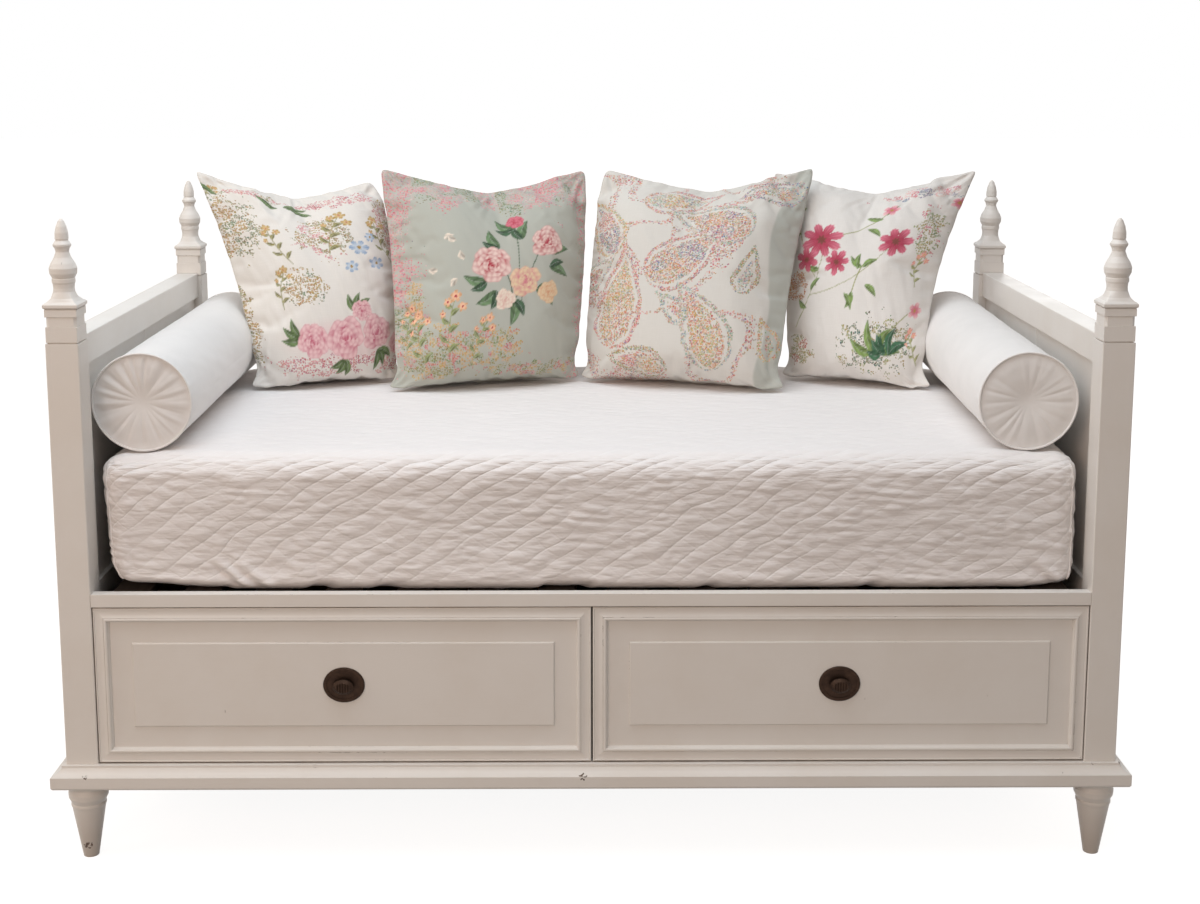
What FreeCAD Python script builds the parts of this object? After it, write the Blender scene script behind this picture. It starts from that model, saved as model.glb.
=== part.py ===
import FreeCAD
import Part
import math
import os

from FreeCAD import Vector

# Painted wooden day bed with two drawers, a covered mattress, two bolsters and four cushions.
# Millimetres, Z up, front towards -Y, origin on the floor under the middle.

# Posts, feet and plinth
FRAME_LENGTH = 2040.0        # over the posts, left to right
FRAME_DEPTH = 1060.0         # over the posts, front to back
POST_SIZE = 62.0
POST_HEIGHT = 858.0
POST_EDGE = 1.5              # chamfer on the long edges
CAP_HEIGHT = 29.0            # band at the top of a post
CAP_INSET = 1.6
CAP_GROOVE = 2.4
FOOT_HEIGHT = 157.0
FOOT_RADIUS = 38.5           # at the bulge
FOOT_TOE_RADIUS = 14.8
PLINTH_HEIGHT = 43.0
PLINTH_OVERHANG = 25.0
PLINTH_WIDTH = 112.0
PLINTH_FASCIA = 25.0         # plain face below the moulding
STUD_RADIUS = 5.0
STUD_REACH = 45.0            # into the foot and into the post

# Finials
FINIAL_HEIGHT = 201.0
FINIAL_BLOCK = 57.0          # square block on the post
FINIAL_BEAD = 65.0           # square bead above the block
FINIAL_BULB = 26.0           # radius of the turned bulb
FINIAL_TENON_RADIUS = 9.0
FINIAL_TENON = 35.0

# Side frames
SIDE_RAIL_DROP = 25.0        # top rail below the top of the posts
SIDE_RAIL_HEIGHT = 58.0
SIDE_RAIL_ROUND = 2.5
RAIL_INSET_IN = 9.0          # rail behind the inner face of the post
RAIL_INSET_OUT = 1.0
MID_RAIL_HEIGHT = 75.0
BOTTOM_RAIL_HEIGHT = 62.0
PANEL_THICK = 18.0
PANEL_SETBACK = 10.0         # panel behind the inner face of the rails
PANEL_TONGUE = 10.0          # panel edge held in its groove
BOARD_V = 3.0                # chamfer at the joint between two boards
TENON_LENGTH = 22.0
TENON_THICK = 14.0
TENON_SHOULDER = 8.0
FIT = 0.1                    # room round tenons, tongues, studs and dowels

# Long rails, slats and back
BAY_HEIGHT = 316.0           # drawer opening, plinth to front rail
FRONT_RAIL_HEIGHT = 25.0
FRONT_RAIL_DEPTH = 22.0
BEARER_THICK = 22.0
BEARER_HEIGHT = 100.0
MATTRESS_SINK = 11.0         # slats below the top of the front rail
LEDGER_SIZE = 25.0
SLAT_THICK = 18.0
SLAT_WIDTH = 70.0
SLAT_COUNT = 14
SLAT_END_ROOM = 28.0         # outer slats to the posts
BACK_THICK = 9.0
DIVIDER_THICK = 18.0
KICKER_HEIGHT = 25.0
KICKER_WIDTH = 22.0

# Drawers
DRAWER_GAP_SIDE = 1.5
DRAWER_GAP_TOP = 2.5
DRAWER_CLOSE_GAP = 0.5       # front to bearer when shut
MOULD_WIDTH = 29.0
MOULD_RISE = 10.0
FIELD_MARGIN = 71.0          # drawer edge to the raised field
FIELD_RISE = 4.0
FIELD_BEVEL = 2.0
DRAWER_DEPTH = 720.0
DRAWER_SIDE = 15.0
DRAWER_PLAY = 3.0            # box to post and to divider
DRAWER_TOP_PLAY = 4.0        # box below the bearer
RUNNER_HEIGHT = 20.0
RUNNER_WIDTH = 37.0
RUN_GAP = 0.3
DRAWER_BOTTOM = 6.0
BOTTOM_UP = 12.0             # bottom above the lower edge of the sides
BOTTOM_GROOVE = 6.0
PLATE_WIDTH = 80.0
PLATE_HEIGHT = 70.0
PLATE_THICK = 4.0
PLATE_RIM = 7.0
PLATE_DISH = 1.5
KNOB_WIDTH = 40.0
KNOB_TALL = 30.0
KNOB_HEAD = 11.0
KNOB_NECK_RADIUS = 9.0
KNOB_NECK = 5.0
KNOB_REEDS = 7
REED_DEPTH = 1.6
SCREW_RADIUS = 2.5
SCREW_HEAD_RADIUS = 5.0
SCREW_HEAD = 3.0
SCREW_BITE = 8.0             # thread in the knob

# Mattress, cover, bolsters and cushions
MATTRESS_END_ROOM = 80.0     # cover to the outer face of the end posts
MATTRESS_FRONT_ROOM = 38.0   # cover to the front and rear faces of the posts
MATTRESS_HEIGHT = 276.0
MATTRESS_CORNER = 75.0
MATTRESS_TOP_ROUND = 46.0
MATTRESS_LOW_ROUND = 34.0
COVER_THICK = 6.0
COVER_TUCK = 60.0            # cover turned under the mattress
PAD_THICK = 40.0             # quilted pad over the springs
SOFT_GAP = 0.3               # soft pieces to what they rest on
BOLSTER_RADIUS = 93.0
BOLSTER_WELT = 3.5
BOLSTER_BUTTON = 8.0         # radius of the gathered middle of an end
BOLSTER_DIP = 9.0            # how far the gathered middle is drawn in
BOLSTER_FRONT = 125.0        # front end behind the front of the posts
BOLSTER_REAR = 105.0         # rear end before the rear of the posts
BOLSTER_SIDE_ROOM = 3.0      # bolster to the side rail
CUSHION_THICK = 170.0
CUSHION_SEAM = 5.0           # seam at top and bottom
CUSHION_SIDE_IN = 12.0       # sides drawn in between the corners
CUSHION_BOLSTER_IN = 46.0    # the same on a side that leans over a bolster
CUSHION_TOP_IN = 64.0        # top edge pressed down between the ears
CUSHION_DRAWN = 778.0        # half the room between the bolsters that the corners are drawn for

# Places that follow from the sizes
half_x = FRAME_LENGTH / 2
half_y = FRAME_DEPTH / 2
post_in_x = half_x - POST_SIZE
post_in_y = half_y - POST_SIZE
axis_x = half_x - POST_SIZE / 2
axis_y = half_y - POST_SIZE / 2
base_z = FOOT_HEIGHT + PLINTH_HEIGHT
post_top = base_z + POST_HEIGHT
rail_z = base_z + BAY_HEIGHT
rail_top = rail_z + FRONT_RAIL_HEIGHT
side_rail_top = post_top - SIDE_RAIL_DROP
rail_in_x = post_in_x + RAIL_INSET_IN
rail_out_x = half_x - RAIL_INSET_OUT
panel_in_x = rail_in_x + PANEL_SETBACK
panel_out_x = panel_in_x + PANEL_THICK
tenon_x = (rail_in_x + rail_out_x) / 2
bearer_y = half_y - FRONT_RAIL_DEPTH
bearer_in_y = bearer_y - BEARER_THICK
deck_z = rail_top - MATTRESS_SINK
bearer_z = deck_z - BEARER_HEIGHT
slat_z = deck_z - SLAT_THICK
ledger_z = slat_z - LEDGER_SIZE
runner_top = base_z + RUNNER_HEIGHT
mattress_top = deck_z + MATTRESS_HEIGHT
bolster_x = rail_in_x - BOLSTER_SIDE_ROOM - BOLSTER_RADIUS
cushion_spread = (bolster_x - BOLSTER_RADIUS) / CUSHION_DRAWN


def box(x0, x1, y0, y1, z0, z1):
    """Block between two corners."""
    return Part.makeBox(x1 - x0, y1 - y0, z1 - z0, Vector(x0, y0, z0))


def rod(x, y, z0, z1, radius):
    """Upright round bar."""
    return Part.makeCylinder(radius, z1 - z0, Vector(x, y, z0))


def rod_y(x, z, y0, y1, radius):
    """Round bar along Y."""
    return Part.makeCylinder(radius, y1 - y0, Vector(x, y0, z), Vector(0, 1, 0))


def flip_x(shape):
    """Copy on the other side, left for right."""
    return shape.mirror(Vector(0, 0, 0), Vector(1, 0, 0))


def flip_y(shape):
    """Copy on the other side, front for back."""
    return shape.mirror(Vector(0, 0, 0), Vector(0, 1, 0))


def outline(path, place):
    """Closed wire from points; an item holding two points is an arc's middle and end."""
    edges = []
    start = place(*path[0])
    first = start
    for item in path[1:]:
        if isinstance(item[0], tuple):
            middle = place(*item[0])
            end = place(*item[1])
            edges.append(Part.Arc(start, middle, end).toShape())
        else:
            end = place(*item)
            edges.append(Part.LineSegment(start, end).toShape())
        start = end
    if start.distanceToPoint(first) > 1e-6:
        edges.append(Part.LineSegment(start, first).toShape())
    return Part.Wire(edges)


def turned(path, x, y, z, chords=3):
    """Solid of revolution about an upright axis; path in radius and height, arcs cut as short cones."""
    points = [path[0]]
    for item in path[1:]:
        if not isinstance(item[0], tuple):
            points.append(item)
            continue
        ends = [Vector(r, h, 0) for r, h in (points[-1], item[0], item[1])]
        along = Part.Arc(*ends).toShape().discretize(chords + 1)
        points += [(p.x, p.y) for p in along[1:]]
    face = Part.Face(outline(points, lambda r, h: Vector(x + r, y, z + h)))
    return face.revolve(Vector(x, y, z), Vector(0, 0, 1), 360)


def mitred_frame(length, depth, path):
    """Four mitred bars round a rectangle; path in distance inwards and height."""
    width = max(item[1][0] if isinstance(item[0], tuple) else item[0] for item in path)
    tall = max(item[1][1] if isinstance(item[0], tuple) else item[1] for item in path)
    bars = []
    for turn in range(4):
        run, across = (length, depth) if turn % 2 == 0 else (depth, length)
        edge = -across / 2
        face = Part.Face(outline(path, lambda s, h: Vector(-run / 2, edge + s, h)))
        bar = face.extrude(Vector(run, 0, 0))
        spare = width / 2
        outer = run / 2 + spare
        inner = run / 2 - width - spare
        corners = [
            Vector(-outer, edge - spare, -tall),
            Vector(outer, edge - spare, -tall),
            Vector(inner, edge + width + spare, -tall),
            Vector(-inner, edge + width + spare, -tall),
        ]
        wedge = Part.Face(Part.makePolygon(corners + corners[:1])).extrude(Vector(0, 0, 3 * tall))
        bar = bar.common(wedge).Solids[0]
        bar.rotate(Vector(0, 0, 0), Vector(0, 0, 1), 90 * turn)
        bars.append(bar)
    return bars


def edges_at(shape, test):
    """Edges whose two ends both pass a test."""
    return [e for e in shape.Edges if all(test(v.Point) for v in e.Vertexes)]


def rounded_rectangle(hx, hy, corner, z):
    """Level rectangle with round corners."""
    k = corner * (1 - math.sqrt(0.5))
    path = [
        (-hx + corner, -hy), (hx - corner, -hy), ((hx - k, -hy + k), (hx, -hy + corner)),
        (hx, hy - corner), ((hx - k, hy - k), (hx - corner, hy)), (-hx + corner, hy),
        ((-hx + k, hy - k), (-hx, hy - corner)), (-hx, -hy + corner),
        ((-hx + k, -hy + k), (-hx + corner, -hy)),
    ]
    return outline(path, lambda x, y: Vector(x, y, z))


def rounded_block(hx, hy, z0, z1, corner, top, low):
    """Pad with round corners and soft upper and lower edges, through level outlines."""
    levels = []
    for turn in (0, 30, 60, 90):
        a = math.radians(turn)
        levels.append((z0 + low * (1 - math.cos(a)), low * (1 - math.sin(a))))
    for turn in (90, 60, 30, 0):
        a = math.radians(turn)
        levels.append((z1 - top * (1 - math.cos(a)), top * (1 - math.sin(a))))
    wires = [rounded_rectangle(hx - inset, hy - inset, corner - inset, z) for z, inset in levels]
    return Part.makeLoft(wires, True, True)


parts = {}


# Feet, turned, on studs that pass through the plinth into the posts
def make_foot():
    top = FOOT_HEIGHT
    toe = FOOT_TOE_RADIUS
    neck = FOOT_RADIUS - 6
    path = [
        (0, 0), (toe, 0), (neck - 0.5, top - 53),
        ((neck + 1.2, top - 48), (neck, top - 43.5)),
        (neck + 1, top - 41),
        ((FOOT_RADIUS, top - 27), (FOOT_RADIUS - 3.5, top - 14)),
        (FOOT_RADIUS - 3.5, top), (0, top),
    ]
    foot = turned(path, axis_x, -axis_y, 0)
    return foot.cut(rod(axis_x, -axis_y, top - STUD_REACH, top + 1, STUD_RADIUS + FIT))


# Posts with mortises, panel grooves and a grooved cap band
def make_post():
    shaft_top = post_top - CAP_HEIGHT
    shaft = box(post_in_x, half_x, -half_y, -post_in_y, base_z, shaft_top - CAP_GROOVE)
    upright = [e for e in shaft.Edges if abs(e.tangentAt(e.FirstParameter).z) > 0.5]
    shaft = shaft.makeChamfer(POST_EDGE, upright)
    neck = CAP_INSET + CAP_GROOVE
    groove = box(post_in_x + neck, half_x - neck, -half_y + neck, -post_in_y - neck,
                 shaft_top - CAP_GROOVE, shaft_top)
    inset = CAP_INSET
    band = box(post_in_x + inset, half_x - inset, -half_y + inset, -post_in_y - inset,
               shaft_top, post_top)
    post = shaft.fuse([groove, band])
    cuts = [
        rod(axis_x, -axis_y, base_z - 1, base_z + STUD_REACH, STUD_RADIUS + FIT),
        rod(axis_x, -axis_y, post_top - FINIAL_TENON - 1, post_top + 1, FINIAL_TENON_RADIUS + FIT),
        box(panel_in_x - FIT, panel_out_x + FIT, -post_in_y - PANEL_TONGUE, -post_in_y + 1,
            base_z + BOTTOM_RAIL_HEIGHT - PANEL_TONGUE,
            side_rail_top - SIDE_RAIL_HEIGHT + PANEL_TONGUE),
        box(post_in_x - 1, post_in_x + TENON_LENGTH + FIT,
            -bearer_y + BEARER_THICK / 2 - TENON_THICK / 2 - FIT,
            -bearer_y + BEARER_THICK / 2 + TENON_THICK / 2 + FIT,
            bearer_z + TENON_SHOULDER - FIT, deck_z - TENON_SHOULDER + FIT),
    ]
    for low, high in side_rail_heights():
        cuts.append(box(tenon_x - TENON_THICK / 2 - FIT, tenon_x + TENON_THICK / 2 + FIT,
                        -post_in_y - TENON_LENGTH - FIT, -post_in_y + 1,
                        low + TENON_SHOULDER - FIT, high - TENON_SHOULDER + FIT))
    return post.cut(cuts).removeSplitter()


def side_rail_heights():
    """Lower and upper edge of the bottom, middle and top side rails."""
    return [
        (base_z, base_z + BOTTOM_RAIL_HEIGHT),
        (rail_top - MID_RAIL_HEIGHT, rail_top),
        (side_rail_top - SIDE_RAIL_HEIGHT, side_rail_top),
    ]


# Finials: square block and bead, flare from square to round, turned bulb and tip
def four_sided(half, corner, z):
    """Wire of four sides; corner is how far out the corners stand along each axis."""
    turns = [(1, 1), (-1, 1), (-1, -1), (1, -1)]
    middles = [(0, 1), (-1, 0), (0, -1), (1, 0)]
    edges = []
    for i in range(4):
        a = Vector(turns[i][0] * corner, turns[i][1] * corner, z)
        b = Vector(turns[(i + 1) % 4][0] * corner, turns[(i + 1) % 4][1] * corner, z)
        m = Vector(middles[i][0] * half, middles[i][1] * half, z)
        if half - corner > 1e-6:
            edges.append(Part.Arc(a, m, b).toShape())
        else:
            edges.append(Part.LineSegment(a, b).toShape())
    return Part.Wire(edges)


def make_finial():
    k = FINIAL_HEIGHT / 201.0
    block = FINIAL_BLOCK / 2
    bead = FINIAL_BEAD / 2
    bulb = FINIAL_BULB
    ring = bulb - 4.5
    neck = bulb - 6.3
    lower = box(-block, block, -block, block, 0, 19 * k)
    upright = [e for e in lower.Edges if abs(e.tangentAt(e.FirstParameter).z) > 0.5]
    lower = lower.makeChamfer(5, upright)
    step = box(-block - 1.5, block + 1.5, -block - 1.5, block + 1.5, 19 * k, 33 * k)
    nose = box(-bead, bead, -bead, bead, 33 * k, 46 * k)
    level = [e for e in nose.Edges if abs(e.tangentAt(e.FirstParameter).z) < 0.5]
    nose = nose.makeChamfer(4 * k, level)
    round_out = neck / math.sqrt(2)
    flare = Part.makeLoft([
        four_sided(bead - 5, bead - 5, 45.5 * k),
        four_sided(bead - 9.2, bead - 12.5, 53 * k),
        four_sided(neck + 0.6, round_out + 0.6, 64 * k),
    ], True, True)
    path = [
        (0, 63.5 * k), (neck + 0.3, 63.5 * k), (neck - 0.3, 71 * k), (neck + 0.4, 79 * k),
        (ring, 82 * k), (ring, 87.5 * k), (neck + 0.9, 90 * k),
        ((bulb, 105 * k), (bulb - 3.8, 118 * k)),
        (bulb - 10, 128.5 * k), (bulb - 13.8, 139 * k),
        (bulb - 12.4, 145 * k), (bulb - 9.2, 150 * k), (bulb - 9.2, 153.5 * k),
        (bulb - 14.5, 161 * k), (bulb - 13.3, 163 * k),
        ((bulb - 15, 182 * k), (bulb - 20.5, 197 * k)), (bulb - 24, 201 * k), (0, 201 * k),
    ]
    turning = turned(path, 0, 0, 0)
    tenon = rod(0, 0, -FINIAL_TENON, 0, FINIAL_TENON_RADIUS)
    finial = lower.fuse([step, nose, flare, turning, tenon]).removeSplitter()
    finial.translate(Vector(axis_x, -axis_y, post_top))
    return finial


# Plinth: a moulding mitred round the bed
def make_plinth():
    top = base_z
    fascia = FOOT_HEIGHT + PLINTH_FASCIA
    rise = top - fascia
    back = PLINTH_OVERHANG - 7
    path = [
        (PLINTH_WIDTH, FOOT_HEIGHT), (2.5, FOOT_HEIGHT), (0, FOOT_HEIGHT + 4), (0, fascia),
        (4, fascia + 1.5), ((back - 4.5, fascia + rise * 0.42), (back - 1, top - 5)),
        (back, top - 5), (back, top), (PLINTH_WIDTH, top),
    ]
    bars = mitred_frame(FRAME_LENGTH + 2 * PLINTH_OVERHANG, FRAME_DEPTH + 2 * PLINTH_OVERHANG, path)
    holes = [rod(sx * axis_x, sy * axis_y, FOOT_HEIGHT - 1, top + 1, STUD_RADIUS + FIT)
             for sx in (-1, 1) for sy in (-1, 1)]
    return [bar.cut(holes) for bar in bars]


foot = make_foot()
post = make_post()
finial = make_finial()
for name, piece in (("foot", foot), ("post", post), ("finial", finial)):
    parts[name + "_front_right"] = piece
    parts[name + "_front_left"] = flip_x(piece)
    parts[name + "_rear_right"] = flip_y(piece)
    parts[name + "_rear_left"] = flip_x(flip_y(piece))
plinth = make_plinth()
parts["plinth_front"] = plinth[0]
parts["plinth_rear"] = plinth[2]
parts["plinth_ends"] = Part.makeCompound([plinth[1], plinth[3]])
parts["foot_studs"] = Part.makeCompound([
    rod(sx * axis_x, sy * axis_y, FOOT_HEIGHT - STUD_REACH, base_z + STUD_REACH, STUD_RADIUS)
    for sx in (-1, 1) for sy in (-1, 1)])


# Side frames: tenoned rails and grooved panels
def make_side_rail(low, high, groove_below, groove_above, round_top):
    rail = box(rail_in_x, rail_out_x, -post_in_y, post_in_y, low, high)
    if round_top:
        rail = rail.makeFillet(SIDE_RAIL_ROUND, edges_at(rail, lambda p: abs(p.z - high) < 1e-6)[:2])
    reach = post_in_y + TENON_LENGTH
    tenon = box(tenon_x - TENON_THICK / 2, tenon_x + TENON_THICK / 2, -reach, reach,
                low + TENON_SHOULDER, high - TENON_SHOULDER)
    rail = rail.fuse(tenon)
    slot = (panel_in_x - FIT, panel_out_x + FIT, -reach - 1, reach + 1)
    if groove_below:
        rail = rail.cut(box(*slot, low - 1, low + PANEL_TONGUE))
    if groove_above:
        rail = rail.cut(box(*slot, high - PANEL_TONGUE, high + 1))
    return rail.removeSplitter()


def make_upper_boards(low, high):
    """Two upright boards, tongued together at mid depth."""
    a = panel_in_x
    b = panel_out_x
    mid = (a + b) / 2
    end = post_in_y + PANEL_TONGUE - FIT
    tongue = PANEL_THICK / 6
    gap = FIT
    front = [(a, -end), (b, -end), (b, -gap), (mid + tongue, -gap), (mid + tongue, 8), (mid - tongue, 8),
             (mid - tongue, -gap), (a + BOARD_V, -gap), (a, -gap - BOARD_V)]
    wide = tongue + FIT
    rear = [(a, gap + BOARD_V), (a + BOARD_V, gap), (mid - wide, gap), (mid - wide, 8 + gap),
            (mid + wide, 8 + gap), (mid + wide, gap), (b, gap), (b, end), (a, end)]
    boards = []
    for path in (front, rear):
        face = Part.Face(outline(path, lambda x, y: Vector(x, y, low)))
        boards.append(face.extrude(Vector(0, 0, high - low)))
    return boards


bottom_rail, mid_rail, top_rail = side_rail_heights()
rails = {
    "side_bottom_rail": make_side_rail(*bottom_rail, False, True, False),
    "side_mid_rail": make_side_rail(*mid_rail, True, True, False),
    "side_top_rail": make_side_rail(*top_rail, True, False, True),
}
boards = Part.makeCompound(make_upper_boards(mid_rail[1] - PANEL_TONGUE + FIT,
                                             top_rail[0] + PANEL_TONGUE - FIT))
tongue_y = post_in_y + PANEL_TONGUE - FIT
lower_panel = box(panel_in_x, panel_out_x, -tongue_y, tongue_y,
                  bottom_rail[1] - PANEL_TONGUE + FIT, mid_rail[0] + PANEL_TONGUE - FIT)
for name, piece in list(rails.items()) + [("side_boards", boards), ("side_lower_panel", lower_panel)]:
    parts[name + "_right"] = piece
    parts[name + "_left"] = flip_x(piece)

# Long rails, bearers, back, divider, runners, kickers and slats
front_rail = box(-post_in_x, post_in_x, -half_y, -bearer_y, rail_z, rail_top)
parts["front_rail"] = front_rail
parts["rear_rail"] = flip_y(front_rail)
bearer = box(-post_in_x, post_in_x, -bearer_y, -bearer_in_y, bearer_z, deck_z)
bearer_mid = -bearer_y + BEARER_THICK / 2
bearer = bearer.fuse(box(-post_in_x - TENON_LENGTH, post_in_x + TENON_LENGTH,
                         bearer_mid - TENON_THICK / 2, bearer_mid + TENON_THICK / 2,
                         bearer_z + TENON_SHOULDER, deck_z - TENON_SHOULDER)).removeSplitter()
parts["bearer_front"] = bearer
parts["bearer_rear"] = flip_y(bearer)
parts["back_panel"] = box(-post_in_x, post_in_x, bearer_y, bearer_y + BACK_THICK, base_z, rail_z)
parts["centre_divider"] = box(-DIVIDER_THICK / 2, DIVIDER_THICK / 2, -bearer_y, bearer_y, base_z, bearer_z)
runner_outer = box(rail_in_x - RUNNER_WIDTH, rail_in_x, -post_in_y, post_in_y, base_z, runner_top)
runner_inner = box(DIVIDER_THICK / 2, DIVIDER_THICK / 2 + RUNNER_WIDTH, -post_in_y, post_in_y,
                   base_z, runner_top)
parts["drawer_runners"] = Part.makeCompound([runner_outer, runner_inner,
                                             flip_x(runner_outer), flip_x(runner_inner)])
kicker_outer = box(post_in_x - KICKER_WIDTH, post_in_x, -bearer_in_y, bearer_in_y,
                   bearer_z, bearer_z + KICKER_HEIGHT)
kicker_mid = box(-DIVIDER_THICK / 2 - KICKER_WIDTH, DIVIDER_THICK / 2 + KICKER_WIDTH,
                 -bearer_in_y, bearer_in_y, bearer_z, bearer_z + KICKER_HEIGHT)
kicker_outer = kicker_outer.cut([box(post_in_x - 1, half_x, -half_y, -post_in_y, 0, post_top)])
parts["drawer_kickers"] = Part.makeCompound([kicker_outer, kicker_mid, flip_x(kicker_outer)])
ledger = box(-post_in_x, post_in_x, -bearer_in_y, -bearer_in_y + LEDGER_SIZE, ledger_z, slat_z)
parts["slat_ledgers"] = Part.makeCompound([ledger, flip_y(ledger)])
slat_run = 2 * (post_in_x - SLAT_END_ROOM) - SLAT_WIDTH
slats = []
for i in range(SLAT_COUNT):
    x = -slat_run / 2 + slat_run * i / (SLAT_COUNT - 1)
    slats.append(box(x - SLAT_WIDTH / 2, x + SLAT_WIDTH / 2, -bearer_in_y, bearer_in_y, slat_z, deck_z))
parts["bed_slats"] = Part.makeCompound(slats)

# Drawers: the right one is drawn, the left one is its mirror
front_x0 = DRAWER_GAP_SIDE
front_x1 = post_in_x - DRAWER_GAP_SIDE
front_z0 = base_z + DRAWER_GAP_TOP
front_z1 = rail_z - DRAWER_GAP_TOP
front_mid_x = (front_x0 + front_x1) / 2
front_mid_z = (front_z0 + front_z1) / 2
board_y = -half_y + MOULD_RISE           # flat of the front board
back_y = -bearer_y - DRAWER_CLOSE_GAP    # rear of the front board
box_x0 = DIVIDER_THICK / 2 + DRAWER_PLAY
box_x1 = post_in_x - DRAWER_PLAY
box_z0 = runner_top + RUN_GAP
box_z1 = bearer_z - DRAWER_TOP_PLAY
box_y1 = back_y + DRAWER_DEPTH
bottom_z = box_z0 + BOTTOM_UP
field_y = board_y - FIELD_RISE


def make_drawer_front():
    board = box(front_x0, front_x1, board_y, back_y, front_z0, front_z1)
    field = box(front_x0 + FIELD_MARGIN, front_x1 - FIELD_MARGIN, field_y, back_y,
                front_z0 + FIELD_MARGIN, front_z1 - FIELD_MARGIN)
    field = field.makeChamfer(FIELD_BEVEL, edges_at(field, lambda p: abs(p.y - field_y) < 1e-6))
    board = board.fuse(field).removeSplitter()
    return board.cut(rod_y(front_mid_x, front_mid_z, field_y - 1, back_y + 1, SCREW_RADIUS + FIT))


def make_drawer_moulding():
    h = MOULD_RISE
    w = MOULD_WIDTH
    path = [
        (0, 0), (0, h * 0.55), ((1.0, h * 0.72), (2.8, h * 0.75)), (3.3, h * 0.6), (4.3, h * 0.58),
        ((w * 0.45, h * 0.62), (w - 9.5, h * 0.9)), (w - 9, h * 0.82),
        ((w - 6, h), (w - 3, h * 0.86)), (w - 2.6, h * 0.75),
        ((w - 1.8, h * 0.35), (w, h * 0.12)), (w, 0),
    ]
    bars = mitred_frame(front_x1 - front_x0, front_z1 - front_z0, path)
    for bar in bars:
        bar.rotate(Vector(0, 0, 0), Vector(1, 0, 0), 90)
        bar.translate(Vector(front_mid_x, board_y, front_mid_z))
    return Part.makeCompound(bars)


def make_drawer_sides():
    sides = []
    for x0, x1 in ((box_x0, box_x0 + DRAWER_SIDE), (box_x1 - DRAWER_SIDE, box_x1)):
        side = box(x0, x1, back_y, box_y1, box_z0, box_z1)
        side = side.cut(box(box_x0 + DRAWER_SIDE - BOTTOM_GROOVE, box_x1 - DRAWER_SIDE + BOTTOM_GROOVE,
                            back_y, box_y1, bottom_z - FIT, bottom_z + DRAWER_BOTTOM + FIT))
        sides.append(side)
    return Part.makeCompound(sides)


def oval_plate(width, height, y0, y1, soften):
    """Upright oval disc with its front edge eased."""
    ellipse = Part.Ellipse(Vector(0, 0, 0), width / 2, height / 2).toShape()
    disc = Part.Face(Part.Wire([ellipse])).extrude(Vector(0, 0, y1 - y0))
    rim = [e for e in disc.Edges if e.Closed and abs(e.BoundBox.ZMin - (y1 - y0)) < 1e-6]
    disc = disc.makeChamfer(soften, rim)
    disc.rotate(Vector(0, 0, 0), Vector(1, 0, 0), 90)
    disc.translate(Vector(front_mid_x, -y0, front_mid_z))
    return disc


plate_y = -field_y                       # distances forward from the middle
knob_y = plate_y + PLATE_THICK
head_y = knob_y + KNOB_NECK


def make_plate():
    plate = oval_plate(PLATE_WIDTH, PLATE_HEIGHT, plate_y, knob_y, 2.0)
    dish = oval_plate(PLATE_WIDTH - 2 * PLATE_RIM, PLATE_HEIGHT - 2 * PLATE_RIM,
                      knob_y - PLATE_DISH, knob_y + PLATE_THICK, PLATE_DISH / 3)
    plate = plate.cut(dish)
    return plate.cut(rod_y(front_mid_x, front_mid_z, -knob_y - 1, -plate_y + 1, SCREW_RADIUS + FIT))


def make_knob():
    seat = knob_y - PLATE_DISH
    neck = rod_y(front_mid_x, front_mid_z, -head_y - 2, -seat, KNOB_NECK_RADIUS)
    head = oval_plate(KNOB_WIDTH, KNOB_TALL, head_y, head_y + KNOB_HEAD, KNOB_HEAD * 0.55)
    knob = neck.fuse(head).removeSplitter()
    pitch = KNOB_WIDTH / (KNOB_REEDS + 1)
    grooves = []
    for i in range(KNOB_REEDS):
        x = front_mid_x + (i - (KNOB_REEDS - 1) / 2) * pitch
        y = -head_y - KNOB_HEAD
        vee = Part.makePolygon([Vector(x - REED_DEPTH, y - 0.1, 0), Vector(x + REED_DEPTH, y - 0.1, 0),
                                Vector(x, y + REED_DEPTH, 0), Vector(x - REED_DEPTH, y - 0.1, 0)])
        groove = Part.Face(vee).extrude(Vector(0, 0, 2 * KNOB_TALL))
        groove.translate(Vector(0, 0, front_mid_z - KNOB_TALL))
        grooves.append(groove)
    knob = knob.cut(grooves)
    return knob.cut(rod_y(front_mid_x, front_mid_z, -seat - SCREW_BITE, -seat + 1, SCREW_RADIUS + FIT))


def make_knob_screw():
    shank = rod_y(front_mid_x, front_mid_z, -(knob_y - PLATE_DISH) - SCREW_BITE + FIT, back_y, SCREW_RADIUS)
    head = rod_y(front_mid_x, front_mid_z, back_y, back_y + SCREW_HEAD, SCREW_HEAD_RADIUS)
    return shank.fuse(head).removeSplitter()


drawer = {
    "front": make_drawer_front(),
    "moulding": make_drawer_moulding(),
    "sides": make_drawer_sides(),
    "back": box(box_x0 + DRAWER_SIDE, box_x1 - DRAWER_SIDE, box_y1 - DRAWER_SIDE, box_y1,
                bottom_z + DRAWER_BOTTOM + FIT, box_z1),
    "bottom": box(box_x0 + DRAWER_SIDE - BOTTOM_GROOVE + FIT, box_x1 - DRAWER_SIDE + BOTTOM_GROOVE - FIT,
                  back_y, box_y1, bottom_z, bottom_z + DRAWER_BOTTOM),
    "plate": make_plate(),
    "knob": make_knob(),
    "knob_screw": make_knob_screw(),
}
for name, piece in drawer.items():
    parts["drawer_" + name + "_right"] = piece
    parts["drawer_" + name + "_left"] = flip_x(piece)

# Mattress, hollow where its springs are, and the cover tucked under it
hx = half_x - MATTRESS_END_ROOM
hy = half_y - MATTRESS_FRONT_ROOM


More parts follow.
